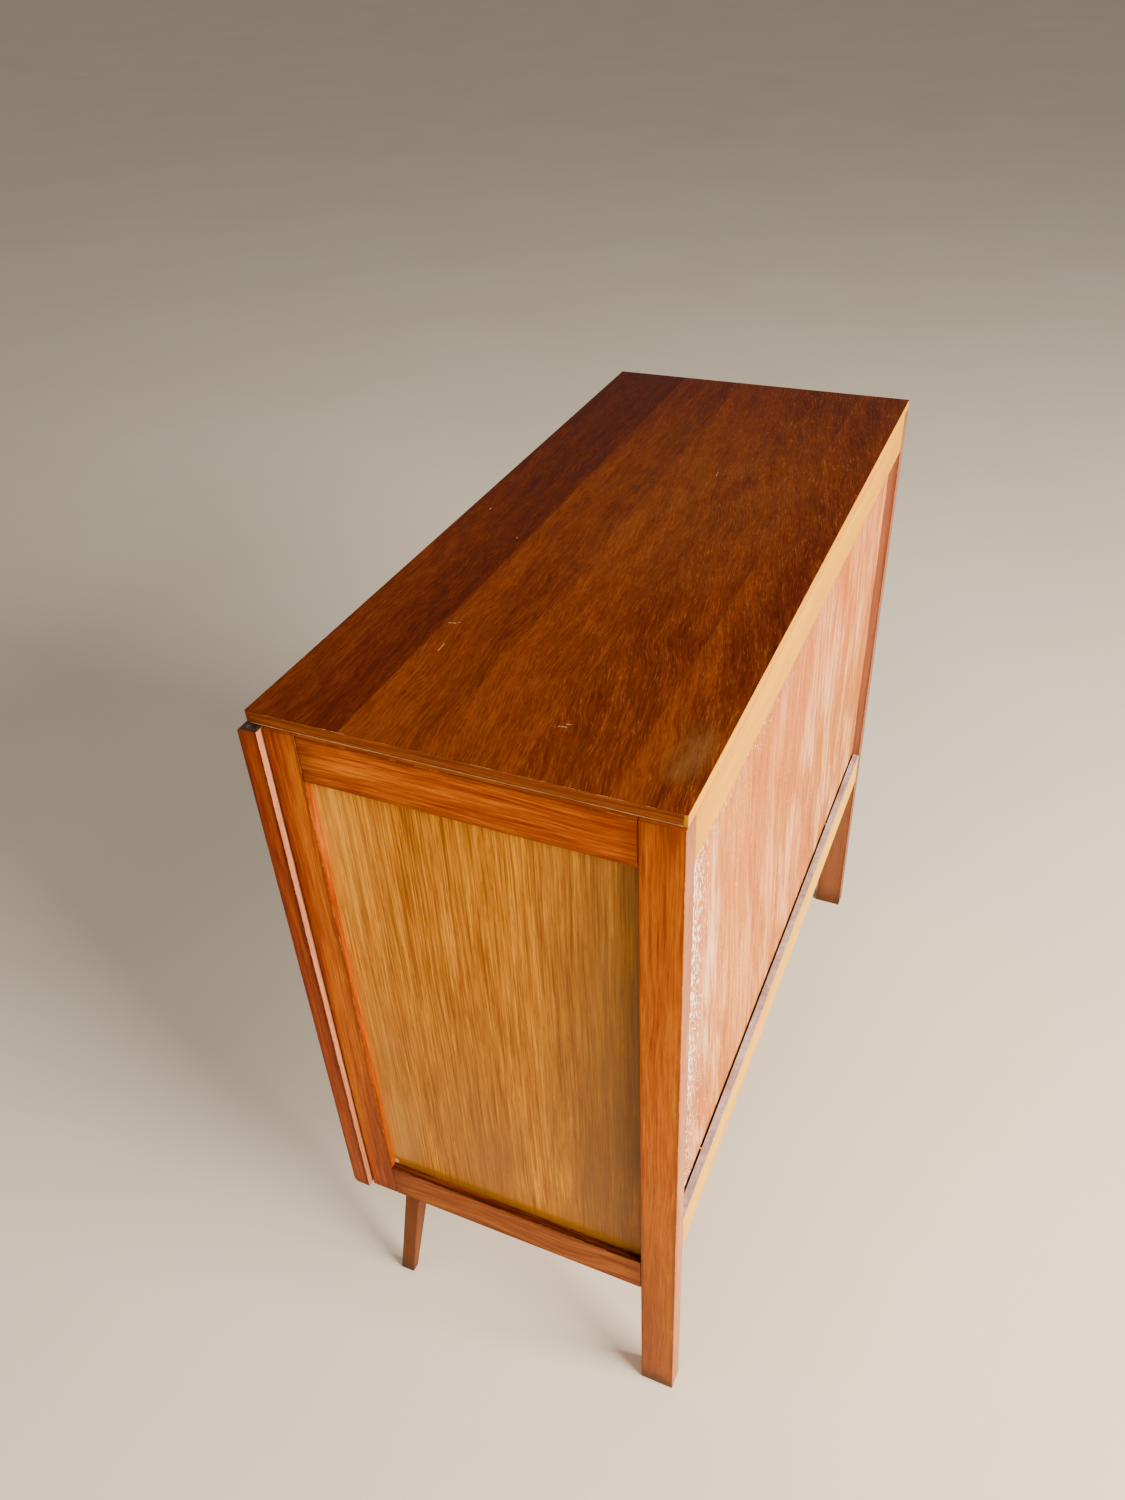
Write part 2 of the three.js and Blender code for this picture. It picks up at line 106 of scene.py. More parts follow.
class Graph:
    """A material's node tree, built by short calls that return sockets."""

    def __init__(self, name, cad=None):
        """cad is (middle, half sizes, order of axes, seed) for a CAD node that stays,
        whose mesh can't carry attributes of its own."""
        self.material = bpy.data.materials.new(name)
        self.material.use_nodes = True
        self.tree = self.material.node_tree
        self.shader = self.tree.nodes["Principled BSDF"]
        self.cad = cad

    def put(self, socket, value):
        if isinstance(value, bpy.types.NodeSocket):
            self.tree.links.new(value, socket)
        elif value is not None:
            socket.default_value = value

    def node(self, kind, inputs, output=0, **settings):
        """An output of a new node; inputs are {index or name: socket or value}."""
        node = self.tree.nodes.new(f"ShaderNode{kind}")
        for name, value in settings.items():
            setattr(node, name, value)
        for key, value in inputs.items():
            self.put(node.inputs[key], value)
        return node.outputs[output]

    def place(self):
        return self.node("TexCoord", {}, "Object")

    def attribute(self, name, output="Vector"):
        if self.cad:
            return self.cad_attribute(name)
        return self.node("Attribute", {}, output, attribute_name=name)

    def cad_attribute(self, name):
        middle, half, order, seed = self.cad
        if name == "seed":
            return self.plus(seed, 0.0)
        if name == "half":
            return self.join(*(half[a] for a in order))
        off = self.split(self.vector("SUBTRACT", self.place(), tuple(middle)))
        return self.join(*(off[a] for a in order))

    def math(self, operation, a, b=None, clamp=False):
        return self.node("Math", {0: a, 1: b}, operation=operation, use_clamp=clamp)

    def times(self, a, b):
        return self.math("MULTIPLY", a, b)

    def plus(self, a, b):
        return self.math("ADD", a, b)

    def minus(self, a, b):
        return self.math("SUBTRACT", a, b)

    def most(self, a, b):
        return self.math("MAXIMUM", a, b)

    def least(self, a, b):
        return self.math("MINIMUM", a, b)

    def total(self, parts):
        """A weighted sum; parts are (socket, share)."""
        return functools.reduce(self.plus, [self.times(part, share) for part, share in parts])

    def vector(self, operation, a, b=None):
        return self.node("VectorMath", {0: a, 1: b}, operation=operation)

    def split(self, vector):
        return self.node("SeparateXYZ", {0: vector}).node.outputs

    def join(self, x, y, z):
        return self.node("CombineXYZ", {0: x, 1: y, 2: z})

    def noise(self, vector, scale=(1, 1, 1), detail=4.0, rough=0.55, distortion=0.0):
        scaled = self.vector("MULTIPLY", vector, scale)
        return self.node("TexNoise", {"Vector": scaled, "Scale": 1, "Detail": detail, "Roughness": rough,
                                      "Distortion": distortion}, "Fac")

    def ramp(self, factor, stops, interpolation="LINEAR"):
        """stops are (place, grey or colour)."""
        output = self.node("ValToRGB", {0: factor})
        ramp = output.node.color_ramp
        ramp.interpolation = interpolation
        while len(ramp.elements) < len(stops):
            ramp.elements.new(0.5)
        for element, (place, value) in zip(ramp.elements, stops):
            element.position = place
            grey = isinstance(value, (int, float))
            element.color = (value, value, value, 1) if grey else (*value, 1)
        return output

    def rise(self, factor, low, high):
        """0 below low, 1 above high, smooth between."""
        return self.node("MapRange", {"Value": factor, "From Min": low, "From Max": high},
                         interpolation_type="SMOOTHSTEP")

    def mix(self, factor, a, b, blend="MIX"):
        a, b = ((*value, 1) if isinstance(value, tuple) else value for value in (a, b))
        return self.node("Mix", {"Factor": factor, 6: a, 7: b}, 2, data_type="RGBA", blend_type=blend)

    def tinge(self, color, mask, share, other):
        """The colour, turned by a share towards another one where the mask is 1."""
        return self.mix(self.times(mask, share), color, other)

    def bump(self, height, strength, distance):
        normal = self.node("Bump", {"Strength": strength, "Distance": distance, "Height": height})
        self.put(self.shader.inputs["Normal"], normal)

    def finish(self, color, roughness, metallic=0.0):
        for name, value in (("Base Color", color), ("Roughness", roughness), ("Metallic", metallic)):
            self.put(self.shader.inputs[name], value)
        return self.material


def edge_distance(graph):
    """Metres from the board's nearest arris, and from its nearer end. The first
    is the second smallest distance to a face, because on a face one is 0."""
    grain = graph.attribute("grain")
    room = graph.vector("SUBTRACT", graph.attribute("half"), graph.vector("ABSOLUTE", grain))
    a, b, c = graph.split(room)
    low = graph.least(a, b)
    high = graph.most(a, b)
    return graph.most(low, graph.least(high, c)), a


def shifted_grain(graph, warp=0.0):
    """The board's grain coordinates, moved for each board so that no two match."""
    grain = graph.attribute("grain")
    seed = graph.attribute("seed", "Fac")
    offset = graph.join(graph.times(seed, 3.7), graph.times(seed, 1.3), seed)
    moved = graph.vector("ADD", grain, offset)
    if not warp:
        return moved
    bend = graph.minus(graph.noise(moved, (5, 18, 18), detail=2), 0.5)
    return graph.vector("ADD", moved, graph.join(0.0, graph.times(bend, warp), 0.0))


def layered(graph, place, layers):
    """A weighted sum of noises; layers are (share, scale, detail)."""
    return graph.total([(graph.noise(place, scale, detail=detail, rough=0.6), share)
                        for share, scale, detail in layers])


def satin(graph, tint, level=0.08):
    """The weak shine of old polish, in a colour of its own."""
    graph.shader.inputs["Specular IOR Level"].default_value = level
    graph.shader.inputs["Specular Tint"].default_value = (*tint, 1)


AMBER = (1.0, 0.52, 0.22)
CREAM = (1.0, 0.90, 0.76)
UNPOLISHED = (0.185, 0.074, 0.038)


def wood(name, dark, mid, light, pore, stain, rub, roughness=0.42, tint=AMBER, broad=(2.2, 34, 34),
         fine=(16, 420, 420), finer=(34, 950, 950), spread=0.085, pores=0.30, warp=0.012, tone=0.14,
         stain_width=3.0, stained=0.75, rubbed=0.5, foot=0.0, bare=None, bump=0.25, cad=None):
    """A stained and polished board: broad bands, fine lines and pores, stain
    gathered along the arrises and ends, and rubs where it has been knocked.

    foot is how much darker the low end grows towards the floor, and how dirty it is just
    above the floor. bare is a colour for the wide and thin axes' high sides, where they
    were left unpolished."""
    graph = Graph(name, cad)
    grain = shifted_grain(graph, warp)
    value = layered(graph, grain, ((0.40, broad, 3), (0.35, fine, 4), (0.25, finer, 3)))
    color = graph.ramp(value, [(0.5 - spread, dark), (0.5, mid), (0.5 + spread, light)])

    dashes = graph.noise(grain, (90, 1300, 1300), detail=2, rough=0.5)
    dash = graph.times(graph.rise(dashes, 0.57, 0.66), pores)
    color = graph.mix(dash, color, pore)

    seed = graph.attribute("seed", "Fac")
    own = graph.times(graph.minus(graph.math("FRACT", seed), 0.5), tone)
    shade = graph.plus(own, 1.0)
    color = graph.mix(1.0, color, graph.join(shade, shade, shade), "MULTIPLY")

    if bare:
        room = graph.vector("SUBTRACT", graph.attribute("half"), graph.attribute("grain"))
        _, to_wide, to_thin = graph.split(room)
        inner = graph.rise(graph.least(to_wide, to_thin), 0.5 * MM, 0.1 * MM)
        streaks = graph.ramp(value, [(0.40, 0.0), (0.60, 1.0)])
        tinted = graph.mix(streaks, bare, tuple(1.5 * c for c in bare))
        color = graph.tinge(color, inner, 0.92, tinted)

    edge, to_end = edge_distance(graph)
    patchy = graph.noise(grain, (22, 70, 70), detail=5, rough=0.7)
    reach = graph.times(graph.minus(patchy, 0.22), stain_width * 5 * MM)
    gathered = graph.rise(edge, graph.most(reach, 1.0 * MM), 0.0)
    line = graph.rise(edge, graph.times(patchy, 3.2 * MM), 0.5 * MM)
    gathered = graph.most(graph.times(gathered, 0.75), line)
    near_end = graph.rise(to_end, graph.times(patchy, 0.044), 0.0)
    amount = graph.most(gathered, graph.times(near_end, 0.6))
    color = graph.tinge(color, amount, stained, stain)
    knocks = graph.noise(grain, (60, 45, 45), detail=4, rough=0.75)
    knock = graph.times(graph.rise(edge, 0.8 * MM, 0.1 * MM), graph.rise(knocks, 0.50, 0.60))
    color = graph.tinge(color, knock, rubbed, rub)
    end = graph.rise(to_end, 0.6 * MM, 0.2 * MM)
    color = graph.tinge(color, end, 0.5, pore)
    if foot:
        along = graph.split(graph.attribute("grain"))[0]
        height = graph.plus(along, graph.split(graph.attribute("half"))[0])
        dull = graph.times(graph.rise(height, 0.46, 0.05), graph.plus(patchy, 0.25))
        color = graph.tinge(color, dull, foot * 0.8, (0.165, 0.042, 0.006))
        dirty = graph.times(graph.rise(height, 0.040, 0.0), graph.plus(patchy, 0.4))
        color = graph.tinge(color, dirty, foot, (0.060, 0.026, 0.014))

    gloss = graph.plus(graph.times(value, 0.3), roughness - 0.15)
    gloss = graph.plus(gloss, graph.times(knock, 0.15))
    height = graph.minus(value, graph.times(dash, 1.2))
    graph.bump(height, bump, 0.2 * MM)
    satin(graph, tint)
    return graph.finish(color, gloss)


def near_line(graph, place, start, end, width):
    """1 on a straight scratch between two places, 0 away from it."""
    start, end = Vector((*start, 0)), Vector((*end, 0))
    along = (end - start).normalized()
    length = (end - start).length
    x, y, _ = graph.split(graph.vector("SUBTRACT", place, tuple(start)))
    run = graph.plus(graph.times(x, along.x), graph.times(y, along.y))
    off = graph.minus(graph.times(y, along.x), graph.times(x, along.y))
    across = graph.rise(graph.math("ABSOLUTE", off), width, 0.0)
    inside = graph.times(graph.rise(run, 0.0, width), graph.rise(run, length, length - width))
    return graph.times(across, inside)


def near_spot(graph, place, centre, radius_x, radius_y):
    """1 in the middle of a soft oval, 0 outside it."""
    off = graph.vector("SUBTRACT", place, (*centre, 0))
    x, y, _ = graph.split(graph.vector("MULTIPLY", off, (1 / radius_x, 1 / radius_y, 0)))
    away = graph.plus(graph.times(x, x), graph.times(y, y))
    return graph.rise(away, 1.0, 0.0)


def top_veneer():
    """The lid's top: five leaves of red-brown veneer laid along it, each with
    its own tone and slant of grain, a little hazed, scratched and dusty.
    The grain attribute is (x, y, z) from the board's middle here."""
    graph = Graph("lid_veneer")
    place = graph.attribute("grain")
    x, y, _ = graph.split(place)
    half_y = (high_of("lid_board").y - low_of("lid_board").y) / 2
    across = graph.math("DIVIDE", graph.plus(y, half_y), 2 * half_y)

    # The leaves' seams, and their tones, from the front (0) to the back (1).
    seams = (0.23, 0.436, 0.65, 0.85)
    tone = graph.ramp(across, [
        (0.0, 0.44), (0.10, 0.38), (0.229, 0.34), (0.231, 0.68), (0.30, 0.62), (0.435, 0.54),
        (0.437, 0.69), (0.52, 0.64), (0.649, 0.62), (0.651, 0.50), (0.74, 0.50), (0.849, 0.51),
        (0.851, 0.65), (0.90, 0.60), (0.94, 0.53), (1.0, 0.54)])
    leaf, slant = (graph.ramp(across, list(zip((0.0, *seams), values)), "CONSTANT") for values in (
        (0.1, 0.35, 0.55, 0.75, 0.95), (0.02, 0.05, 0.11, 0.21, 0.24)))
    bend = graph.times(graph.minus(graph.noise(place, (6, 9, 1), detail=2), 0.5), 0.03)
    slanted = graph.minus(graph.plus(y, bend), graph.times(x, slant))
    grain = graph.join(x, slanted, graph.times(leaf, 9.0))

    fine = layered(graph, grain, (
        (0.18, (7, 90, 1), 3), (0.22, (14, 260, 1), 4), (0.30, (45, 600, 1), 4), (0.30, (110, 1100, 1), 3)))
    mottle = graph.noise(grain, (30, 75, 1), detail=5, rough=0.7)
    bands = graph.noise(graph.join(x, y, 3.0), (1.3, 17, 1), detail=3, rough=0.5)
    value = graph.total([
        (graph.minus(tone, 0.5), 0.26), (fine, 0.68), (mottle, 0.14), (bands, 0.18), (x, 0.09)])
    color = graph.ramp(value, [
        (0.40, (0.043, 0.0040, 0.0003)), (0.47, (0.076, 0.0088, 0.0003)),
        (0.54, (0.120, 0.0185, 0.0005)), (0.62, (0.195, 0.0370, 0.0010))])

    # Pale dashes, where the open grain has filled with dust and wax.
    dashes = graph.noise(grain, (85, 1000, 1), detail=2, rough=0.5)
    dashed = graph.times(graph.rise(dashes, 0.57, 0.67), graph.rise(mottle, 0.34, 0.60))
    open_grain = graph.rise(across, 0.20, 0.75)
    dashed = graph.times(dashed, graph.plus(graph.times(open_grain, 0.25), 0.09))
    color = graph.mix(dashed, color, (0.34, 0.115, 0.022))
    dots = graph.noise(grain, (120, 1000, 7), detail=1)
    color = graph.tinge(color, graph.rise(dots, 0.60, 0.68), 0.30, (0.030, 0.005, 0.001))

    # A hazed patch in the middle, partly a dusty film and partly a painted sheen of the window's
    # reflection, and dust at the near back corner.
    film = graph.noise(place, (16, 34, 1), detail=6, rough=0.75)
    middle = near_spot(graph, place, (-0.09, 0.03), 0.27, 0.15)
    film_and_sheen = graph.times(middle, graph.rise(film, 0.30, 0.75))
    color = graph.tinge(color, film_and_sheen, 0.26, (0.26, 0.095, 0.030))
    corner = graph.times(near_spot(graph, place, (0.318, 0.150), 0.045, 0.022), graph.rise(film, 0.3, 0.7))
    color = graph.tinge(color, corner, 0.40, (0.22, 0.12, 0.035))

    # Short scratches, as (start, end) from the lid's middle.
    scratches = [
        ((0.066, -0.099), (0.063, -0.101)), ((0.221, -0.083), (0.217, -0.078)),
        ((0.219, -0.080), (0.221, -0.088)), ((0.322, 0.054), (0.321, 0.061)),
        ((0.318, 0.058), (0.317, 0.063)), ((0.02, -0.150), (0.015, -0.151)),
        ((0.250, -0.075), (0.262, -0.0745)), ((-0.12, 0.03), (-0.13, 0.029))]
    marks = functools.reduce(graph.most, [
        near_line(graph, place, start, end, 0.7 * MM) for start, end in scratches])
    broken = graph.times(marks, graph.rise(dashes, 0.35, 0.50))
    color = graph.tinge(color, broken, 0.7, (0.62, 0.36, 0.19))

    # Stain gathers along the seams.
    for seam in seams:
        off = graph.math("ABSOLUTE", graph.minus(across, seam))
        line = graph.rise(off, 0.0014, 0.0)
        color = graph.tinge(color, line, 0.35, (0.03, 0.005, 0.001))

    gloss = graph.plus(graph.times(mottle, 0.18), 0.33)
    gloss = graph.plus(gloss, graph.times(film_and_sheen, 0.20))
    gloss = graph.math("ADD", gloss, graph.times(corner, 0.3), clamp=True)
    graph.bump(graph.minus(fine, graph.times(dashed, 0.8)), 0.25, 0.15 * MM)
    satin(graph, AMBER, 0.09)
    return graph.finish(color, gloss)


def oak_veneer():
    """Golden oak: fine light and dark streaks up the panel, wavering a little."""
    graph = Graph("oak_veneer")
    grain = shifted_grain(graph, warp=0.006)
    along, across, _ = graph.split(graph.attribute("grain"))
    value = layered(graph, grain, (
        (0.17, (2.2, 14, 14), 3), (0.15, (5, 130, 130), 3), (0.38, (9, 460, 460), 4),
        (0.30, (20, 950, 950), 3)))
    color = graph.ramp(value, [
        (0.42, (0.265, 0.071, 0.0004)), (0.475, (0.460, 0.142, 0.0006)),
        (0.53, (0.650, 0.220, 0.0008)), (0.60, (0.880, 0.360, 0.004))])
    flecks = graph.noise(grain, (55, 760, 760), detail=2)
    color = graph.tinge(color, graph.rise(flecks, 0.56, 0.66), 0.45, (0.20, 0.048, 0.0005))

    # Duller and browner low down, with amber polish gathered above the rail. Painted shade of the rear leg
    # darkens and greys the back edge, and painted light pales the front edge.
    half_along, half_across, _ = graph.split(graph.attribute("half"))
    height = graph.plus(along, half_along)
    cloud = graph.noise(grain, (4, 9, 9), detail=4, rough=0.6)
    dull = graph.times(graph.rise(height, 0.36, 0.02), graph.rise(cloud, 0.24, 0.60))
    color = graph.tinge(color, dull, 0.60, (0.26, 0.100, 0.026))
    # Painted shade of the rear leg along the panel's back edge, greyer low down.
    to_back = graph.minus(half_across, across)
    leg_shade_low = graph.times(graph.rise(to_back, 0.13, 0.0), graph.rise(height, 0.54, 0.06))
    leg_shade_low = graph.times(leg_shade_low, graph.rise(cloud, 0.15, 0.55))
    shade = graph.times(graph.rise(to_back, 0.12, 0.0), graph.rise(cloud, 0.1, 0.6))
    color = graph.tinge(color, shade, 0.75, (0.205, 0.092, 0.030))
    color = graph.tinge(color, leg_shade_low, 0.88, (0.150, 0.058, 0.017))
    # Painted light: the panel is paler towards the front edge.
    pale = graph.times(graph.rise(across, -0.06, -0.135), graph.rise(cloud, 0.30, 0.62))
    color = graph.tinge(color, pale, 0.35, (0.88, 0.40, 0.05))
    drip = graph.plus(height, graph.times(value, -0.02))
    polish = graph.rise(drip, 0.013, 0.004)
    color = graph.tinge(color, polish, 0.7, (0.26, 0.098, 0.0005))

    # A small whitish patch in the bottom front corner.
    corner = graph.join(graph.minus(height, 9.5 * MM), graph.plus(across, half_across), 0.0)
    white_patch = near_spot(graph, corner, (0.0, 8.0 * MM), 4.5 * MM, 3.2 * MM)
    ragged = graph.noise(grain, (500, 500, 500), detail=3)
    white_patch = graph.times(white_patch, graph.rise(ragged, 0.26, 0.40))
    color = graph.tinge(color, white_patch, 0.85, (0.85, 0.66, 0.48))

    gloss = graph.plus(graph.times(value, 0.3), 0.24)
    graph.bump(graph.minus(value, graph.times(flecks, 0.3)), 0.25, 0.2 * MM)
    satin(graph, (1.0, 0.66, 0.24), 0.08)
    return graph.finish(color, gloss)


def hardboard():
    """The back: a thin board, pinkish tan, rubbed pale in clouds, with white
    flecks of paint near the right edge and the top."""
    graph = Graph("back_board")
    place = graph.attribute("grain")
    along, across, _ = graph.split(place)
    half_x, half_z, _ = graph.split(graph.attribute("half"))
    leaning = graph.join(graph.plus(along, graph.times(across, -0.10)), across, 0.0)
    cloud = graph.noise(leaning, (16, 4.5, 1), detail=6, rough=0.62, distortion=0.3)
    wiped = graph.noise(leaning, (130, 11, 1), detail=5, rough=0.65, distortion=0.2)
    fibre = graph.noise(place, (420, 190, 190), detail=5, rough=0.7)
    value = graph.total([(cloud, 0.35), (wiped, 0.40), (fibre, 0.25)])
    color = graph.ramp(value, [
        (0.40, (0.310, 0.076, 0.010)), (0.49, (0.470, 0.137, 0.020)), (0.58, (0.660, 0.230, 0.045))])

    # Pale smears, wiped on up and down.
    to_right = graph.minus(half_x, along)
    to_top = graph.minus(half_z, across)
    to_bottom = graph.plus(half_z, across)
    rubbed = graph.times(graph.rise(cloud, 0.44, 0.62), graph.rise(wiped, 0.36, 0.64))
    left_side = graph.times(graph.rise(to_right, 0.10, 0.50), 0.9)
    low_right = graph.times(graph.rise(to_right, 0.20, 0.05), graph.rise(to_bottom, 0.40, 0.06))
    smear = near_spot(graph, place, (0.285, 0.02), 0.030, 0.19)
    where = graph.most(graph.most(left_side, low_right), smear)
    pale = graph.times(rubbed, where)
    pale = graph.most(pale, graph.times(smear, graph.rise(wiped, 0.34, 0.62)))
    color = graph.tinge(color, pale, 0.62, (0.90, 0.53, 0.28))
    shade = graph.times(graph.rise(to_top, 0.30, 0.0), graph.rise(to_right, 0.05, 0.35))
    color = graph.tinge(color, shade, 0.45, (0.400, 0.088, 0.014))
    # Painted shade: the bottom strip, down behind the rail's ledge, is darkened as in the ledge's shadow.
    below_ledge_shade = graph.rise(to_bottom, 6.6 * MM, 5.6 * MM)
    color = graph.tinge(color, below_ledge_shade, 0.95, (0.012, 0.006, 0.004))

    flecks = graph.noise(leaning, (360, 130, 1), detail=4, rough=0.75, distortion=0.3)
    near_edge = graph.rise(to_right, 0.100, 0.014)
    near_top = graph.times(graph.rise(to_top, 0.07, 0.01), graph.rise(to_right, 0.62, 0.1))
    upper = graph.plus(graph.times(graph.rise(to_bottom, 0.02, 0.22), 0.35), 0.65)
    dense = graph.most(graph.times(near_edge, upper), graph.times(near_top, 0.70))
    color = graph.tinge(color, dense, 0.55, (0.330, 0.120, 0.050))
    limit = graph.minus(0.66, graph.times(dense, 0.185))
    white = graph.rise(flecks, limit, graph.plus(limit, 0.03))
    color = graph.tinge(color, white, 0.92, (0.97, 0.88, 0.74))
    graph.bump(graph.plus(fibre, graph.times(white, 0.8)), 0.3, 0.2 * MM)
    gloss = graph.plus(graph.times(cloud, 0.2), 0.50)
    satin(graph, (1.0, 0.80, 0.62), 0.08)
    return graph.finish(color, gloss)


def dust():
    """Grey dust on an upward face."""
    graph = Graph("dust")
    place = graph.attribute("grain")
    value = layered(graph, place, ((0.5, (160, 160, 160), 6), (0.5, (14, 60, 60), 3)))
    color = graph.ramp(value, [
        (0.38, (0.270, 0.180, 0.150)), (0.50, (0.400, 0.300, 0.260)), (0.62, (0.54, 0.44, 0.39))])
    graph.bump(value, 0.6, 0.3 * MM)
    return graph.finish(color, 0.85)


def grime_and_shade():
    """Old dark polish and dirt with painted shade: on the door's top edge, shaded under the lid, and in the
    back's groove, where the dark is painted shade of the narrow gap.
    """
    graph = Graph("grime_and_shade")
    place = graph.attribute("grain")
    clumps = graph.noise(place, (240, 90, 240), detail=6, rough=0.7)
    color = graph.ramp(clumps, [
        (0.35, (0.008, 0.004, 0.003)), (0.55, (0.030, 0.017, 0.013)), (0.72, (0.120, 0.085, 0.072))])
    graph.bump(clumps, 0.5, 0.3 * MM)
    satin(graph, CREAM, 0.3)
    return graph.finish(color, 0.5)


def metal(name, base, tarnish, roughness):
    """Brushed metal, tarnished in patches."""
    graph = Graph(name)
    place = graph.place()
    patches = graph.noise(place, (110, 110, 110), detail=5, rough=0.65)
    brushed = graph.noise(place, (1800, 1800, 160), detail=3)
    color = graph.mix(graph.rise(patches, 0.42, 0.68), base, tarnish)
    gloss = graph.plus(graph.times(patches, 0.35), roughness - 0.12)
    graph.bump(brushed, 0.12, 0.05 * MM)
    return graph.finish(color, gloss, metallic=1.0)


def floor_paint():
    """The floor's pale matt colour, in very faint patches."""
    graph = Graph("pale_floor")
    place = graph.place()
    patches = graph.noise(place, (1.6, 1.6, 1), detail=4)
    color = graph.ramp(patches, [(0.3, (0.80, 0.68, 0.52)), (0.7, (0.84, 0.73, 0.57))])
    return graph.finish(color, 0.7)


def timber(dark, mid, light, pore, stain, rub, **rest):
    """The settings of wood() for one finish."""
    return dict(dark=dark, mid=mid, light=light, pore=pore, stain=stain, rub=rub, **rest)


FINISHES = {
    "frame": timber(
        (0.190, 0.024, 0.0002), (0.380, 0.070, 0.0003), (0.600, 0.155, 0.0006),
        (0.170, 0.022, 0.001), (0.105, 0.011, 0.001), (0.66, 0.20, 0.02),
        spread=0.11, broad=(2.4, 60, 60)),
    "rail": timber(
        (0.185, 0.021, 0.0002), (0.405, 0.070, 0.0003), (0.690, 0.175, 0.0006),
        (0.170, 0.022, 0.001), (0.085, 0.010, 0.001), (0.66, 0.18, 0.02),
        broad=(3.0, 40, 40), spread=0.10, stain_width=5.0, stained=0.85),
    "leg": timber(
        (0.220, 0.035, 0.0003), (0.425, 0.090, 0.0003), (0.590, 0.162, 0.0006),
        (0.190, 0.030, 0.002), (0.120, 0.015, 0.001), (0.64, 0.22, 0.05),
        stain_width=3.4, spread=0.11, foot=0.75, broad=(2.4, 60, 60)),
    "leg_rear": timber(
        (0.240, 0.080, 0.028), (0.350, 0.128, 0.046), (0.470, 0.195, 0.080),
        (0.200, 0.050, 0.020), (0.240, 0.070, 0.030), (0.80, 0.44, 0.24),
        stain_width=2.2, spread=0.10, roughness=0.55),
    "leg_inner": timber(
        (0.210, 0.070, 0.030), (0.310, 0.110, 0.050), (0.400, 0.160, 0.080),
        (0.120, 0.035, 0.014), (0.14, 0.04, 0.015), (0.52, 0.28, 0.15),
        spread=0.10, roughness=0.6),
    "door": timber(
        (0.130, 0.012, 0.0004), (0.240, 0.031, 0.001), (0.360, 0.064, 0.002),
        (0.085, 0.012, 0.001), (0.070, 0.009, 0.001), (0.50, 0.14, 0.016)),
    "low_rail": timber(
        (0.140, 0.026, 0.002), (0.265, 0.060, 0.005), (0.390, 0.108, 0.014),
        (0.110, 0.022, 0.003), (0.09, 0.016, 0.002), (0.52, 0.18, 0.05),
        roughness=0.5, broad=(7, 90, 90), warp=0.045),
    "front_leg": timber(
        (0.066, 0.010, 0.001), (0.112, 0.022, 0.003), (0.168, 0.040, 0.007),
        (0.080, 0.016, 0.003), (0.080, 0.013, 0.002), (0.42, 0.15, 0.05),
        roughness=0.5, foot=0.8),
    "lipping": timber(
        (0.125, 0.022, 0.002), (0.215, 0.046, 0.004), (0.310, 0.082, 0.010),
        (0.100, 0.020, 0.002), (0.140, 0.028, 0.004), (0.62, 0.28, 0.10),
        roughness=0.5, broad=(4, 240, 240), fine=(14, 900, 900), spread=0.10, stain_width=0.6,
        stained=0.3, rubbed=0.5),
    "pale": timber(
        (0.660, 0.270, 0.008), (0.790, 0.370, 0.014), (0.900, 0.480, 0.040),
        (0.700, 0.270, 0.012), (0.70, 0.26, 0.015), (0.98, 0.66, 0.18),
        roughness=0.5, tint=CREAM, pores=0.18, spread=0.12, stain_width=1.5, stained=0.5),
    "honey": timber(
        (0.520, 0.190, 0.0003), (0.630, 0.255, 0.0004), (0.760, 0.345, 0.002),
        (0.440, 0.150, 0.0003), (0.46, 0.16, 0.0005), (0.95, 0.60, 0.05),
        roughness=0.5, pores=0.18, spread=0.12, stain_width=1.5, stained=0.5),
    "backing": timber(
        (0.460, 0.250, 0.170), (0.600, 0.360, 0.260), (0.720, 0.480, 0.370),
        (0.250, 0.110, 0.070), (0.16, 0.06, 0.03), (0.82, 0.68, 0.58),
        roughness=0.6, tint=CREAM, pores=0.3, spread=0.10, stain_width=0.6, stained=0.4),
    # The door's rear face: paler than the door's wood, painted light for the strong window light on that
    # face.
    "door_rear": timber(
        (0.400, 0.120, 0.045), (0.530, 0.185, 0.080), (0.640, 0.260, 0.130),
        (0.300, 0.080, 0.030), (0.30, 0.07, 0.02), (0.80, 0.50, 0.34),
        roughness=0.55, stain_width=1.0, stained=0.4),
    "shadow_stain": timber(
        (0.030, 0.005, 0.001), (0.085, 0.013, 0.001), (0.200, 0.036, 0.002),
        (0.020, 0.004, 0.001), (0.02, 0.003, 0.001), (0.40, 0.13, 0.03),
        broad=(14, 60, 60), spread=0.08, stained=0.5),
    "board_inner": timber(
        (0.190, 0.085, 0.035), (0.260, 0.125, 0.055), (0.330, 0.170, 0.080),
        (0.140, 0.060, 0.025), (0.15, 0.065, 0.028), (0.40, 0.24, 0.13),
        roughness=0.65, broad=(9, 9, 9), fine=(300, 300, 300), finer=(700, 700, 700), pores=0.15,
        stained=0.4, spread=0.08),
    "ply": timber(
        (0.330, 0.165, 0.060), (0.460, 0.250, 0.100), (0.570, 0.340, 0.160),
        (0.230, 0.110, 0.040), (0.36, 0.19, 0.075), (0.62, 0.42, 0.22),
        roughness=0.62, tint=CREAM, stained=0.5, spread=0.10),
    "platform": timber(
        (0.080, 0.012, 0.001), (0.150, 0.030, 0.002), (0.240, 0.062, 0.005),
        (0.050, 0.009, 0.001), (0.07, 0.012, 0.002), (0.36, 0.13, 0.02)),
}

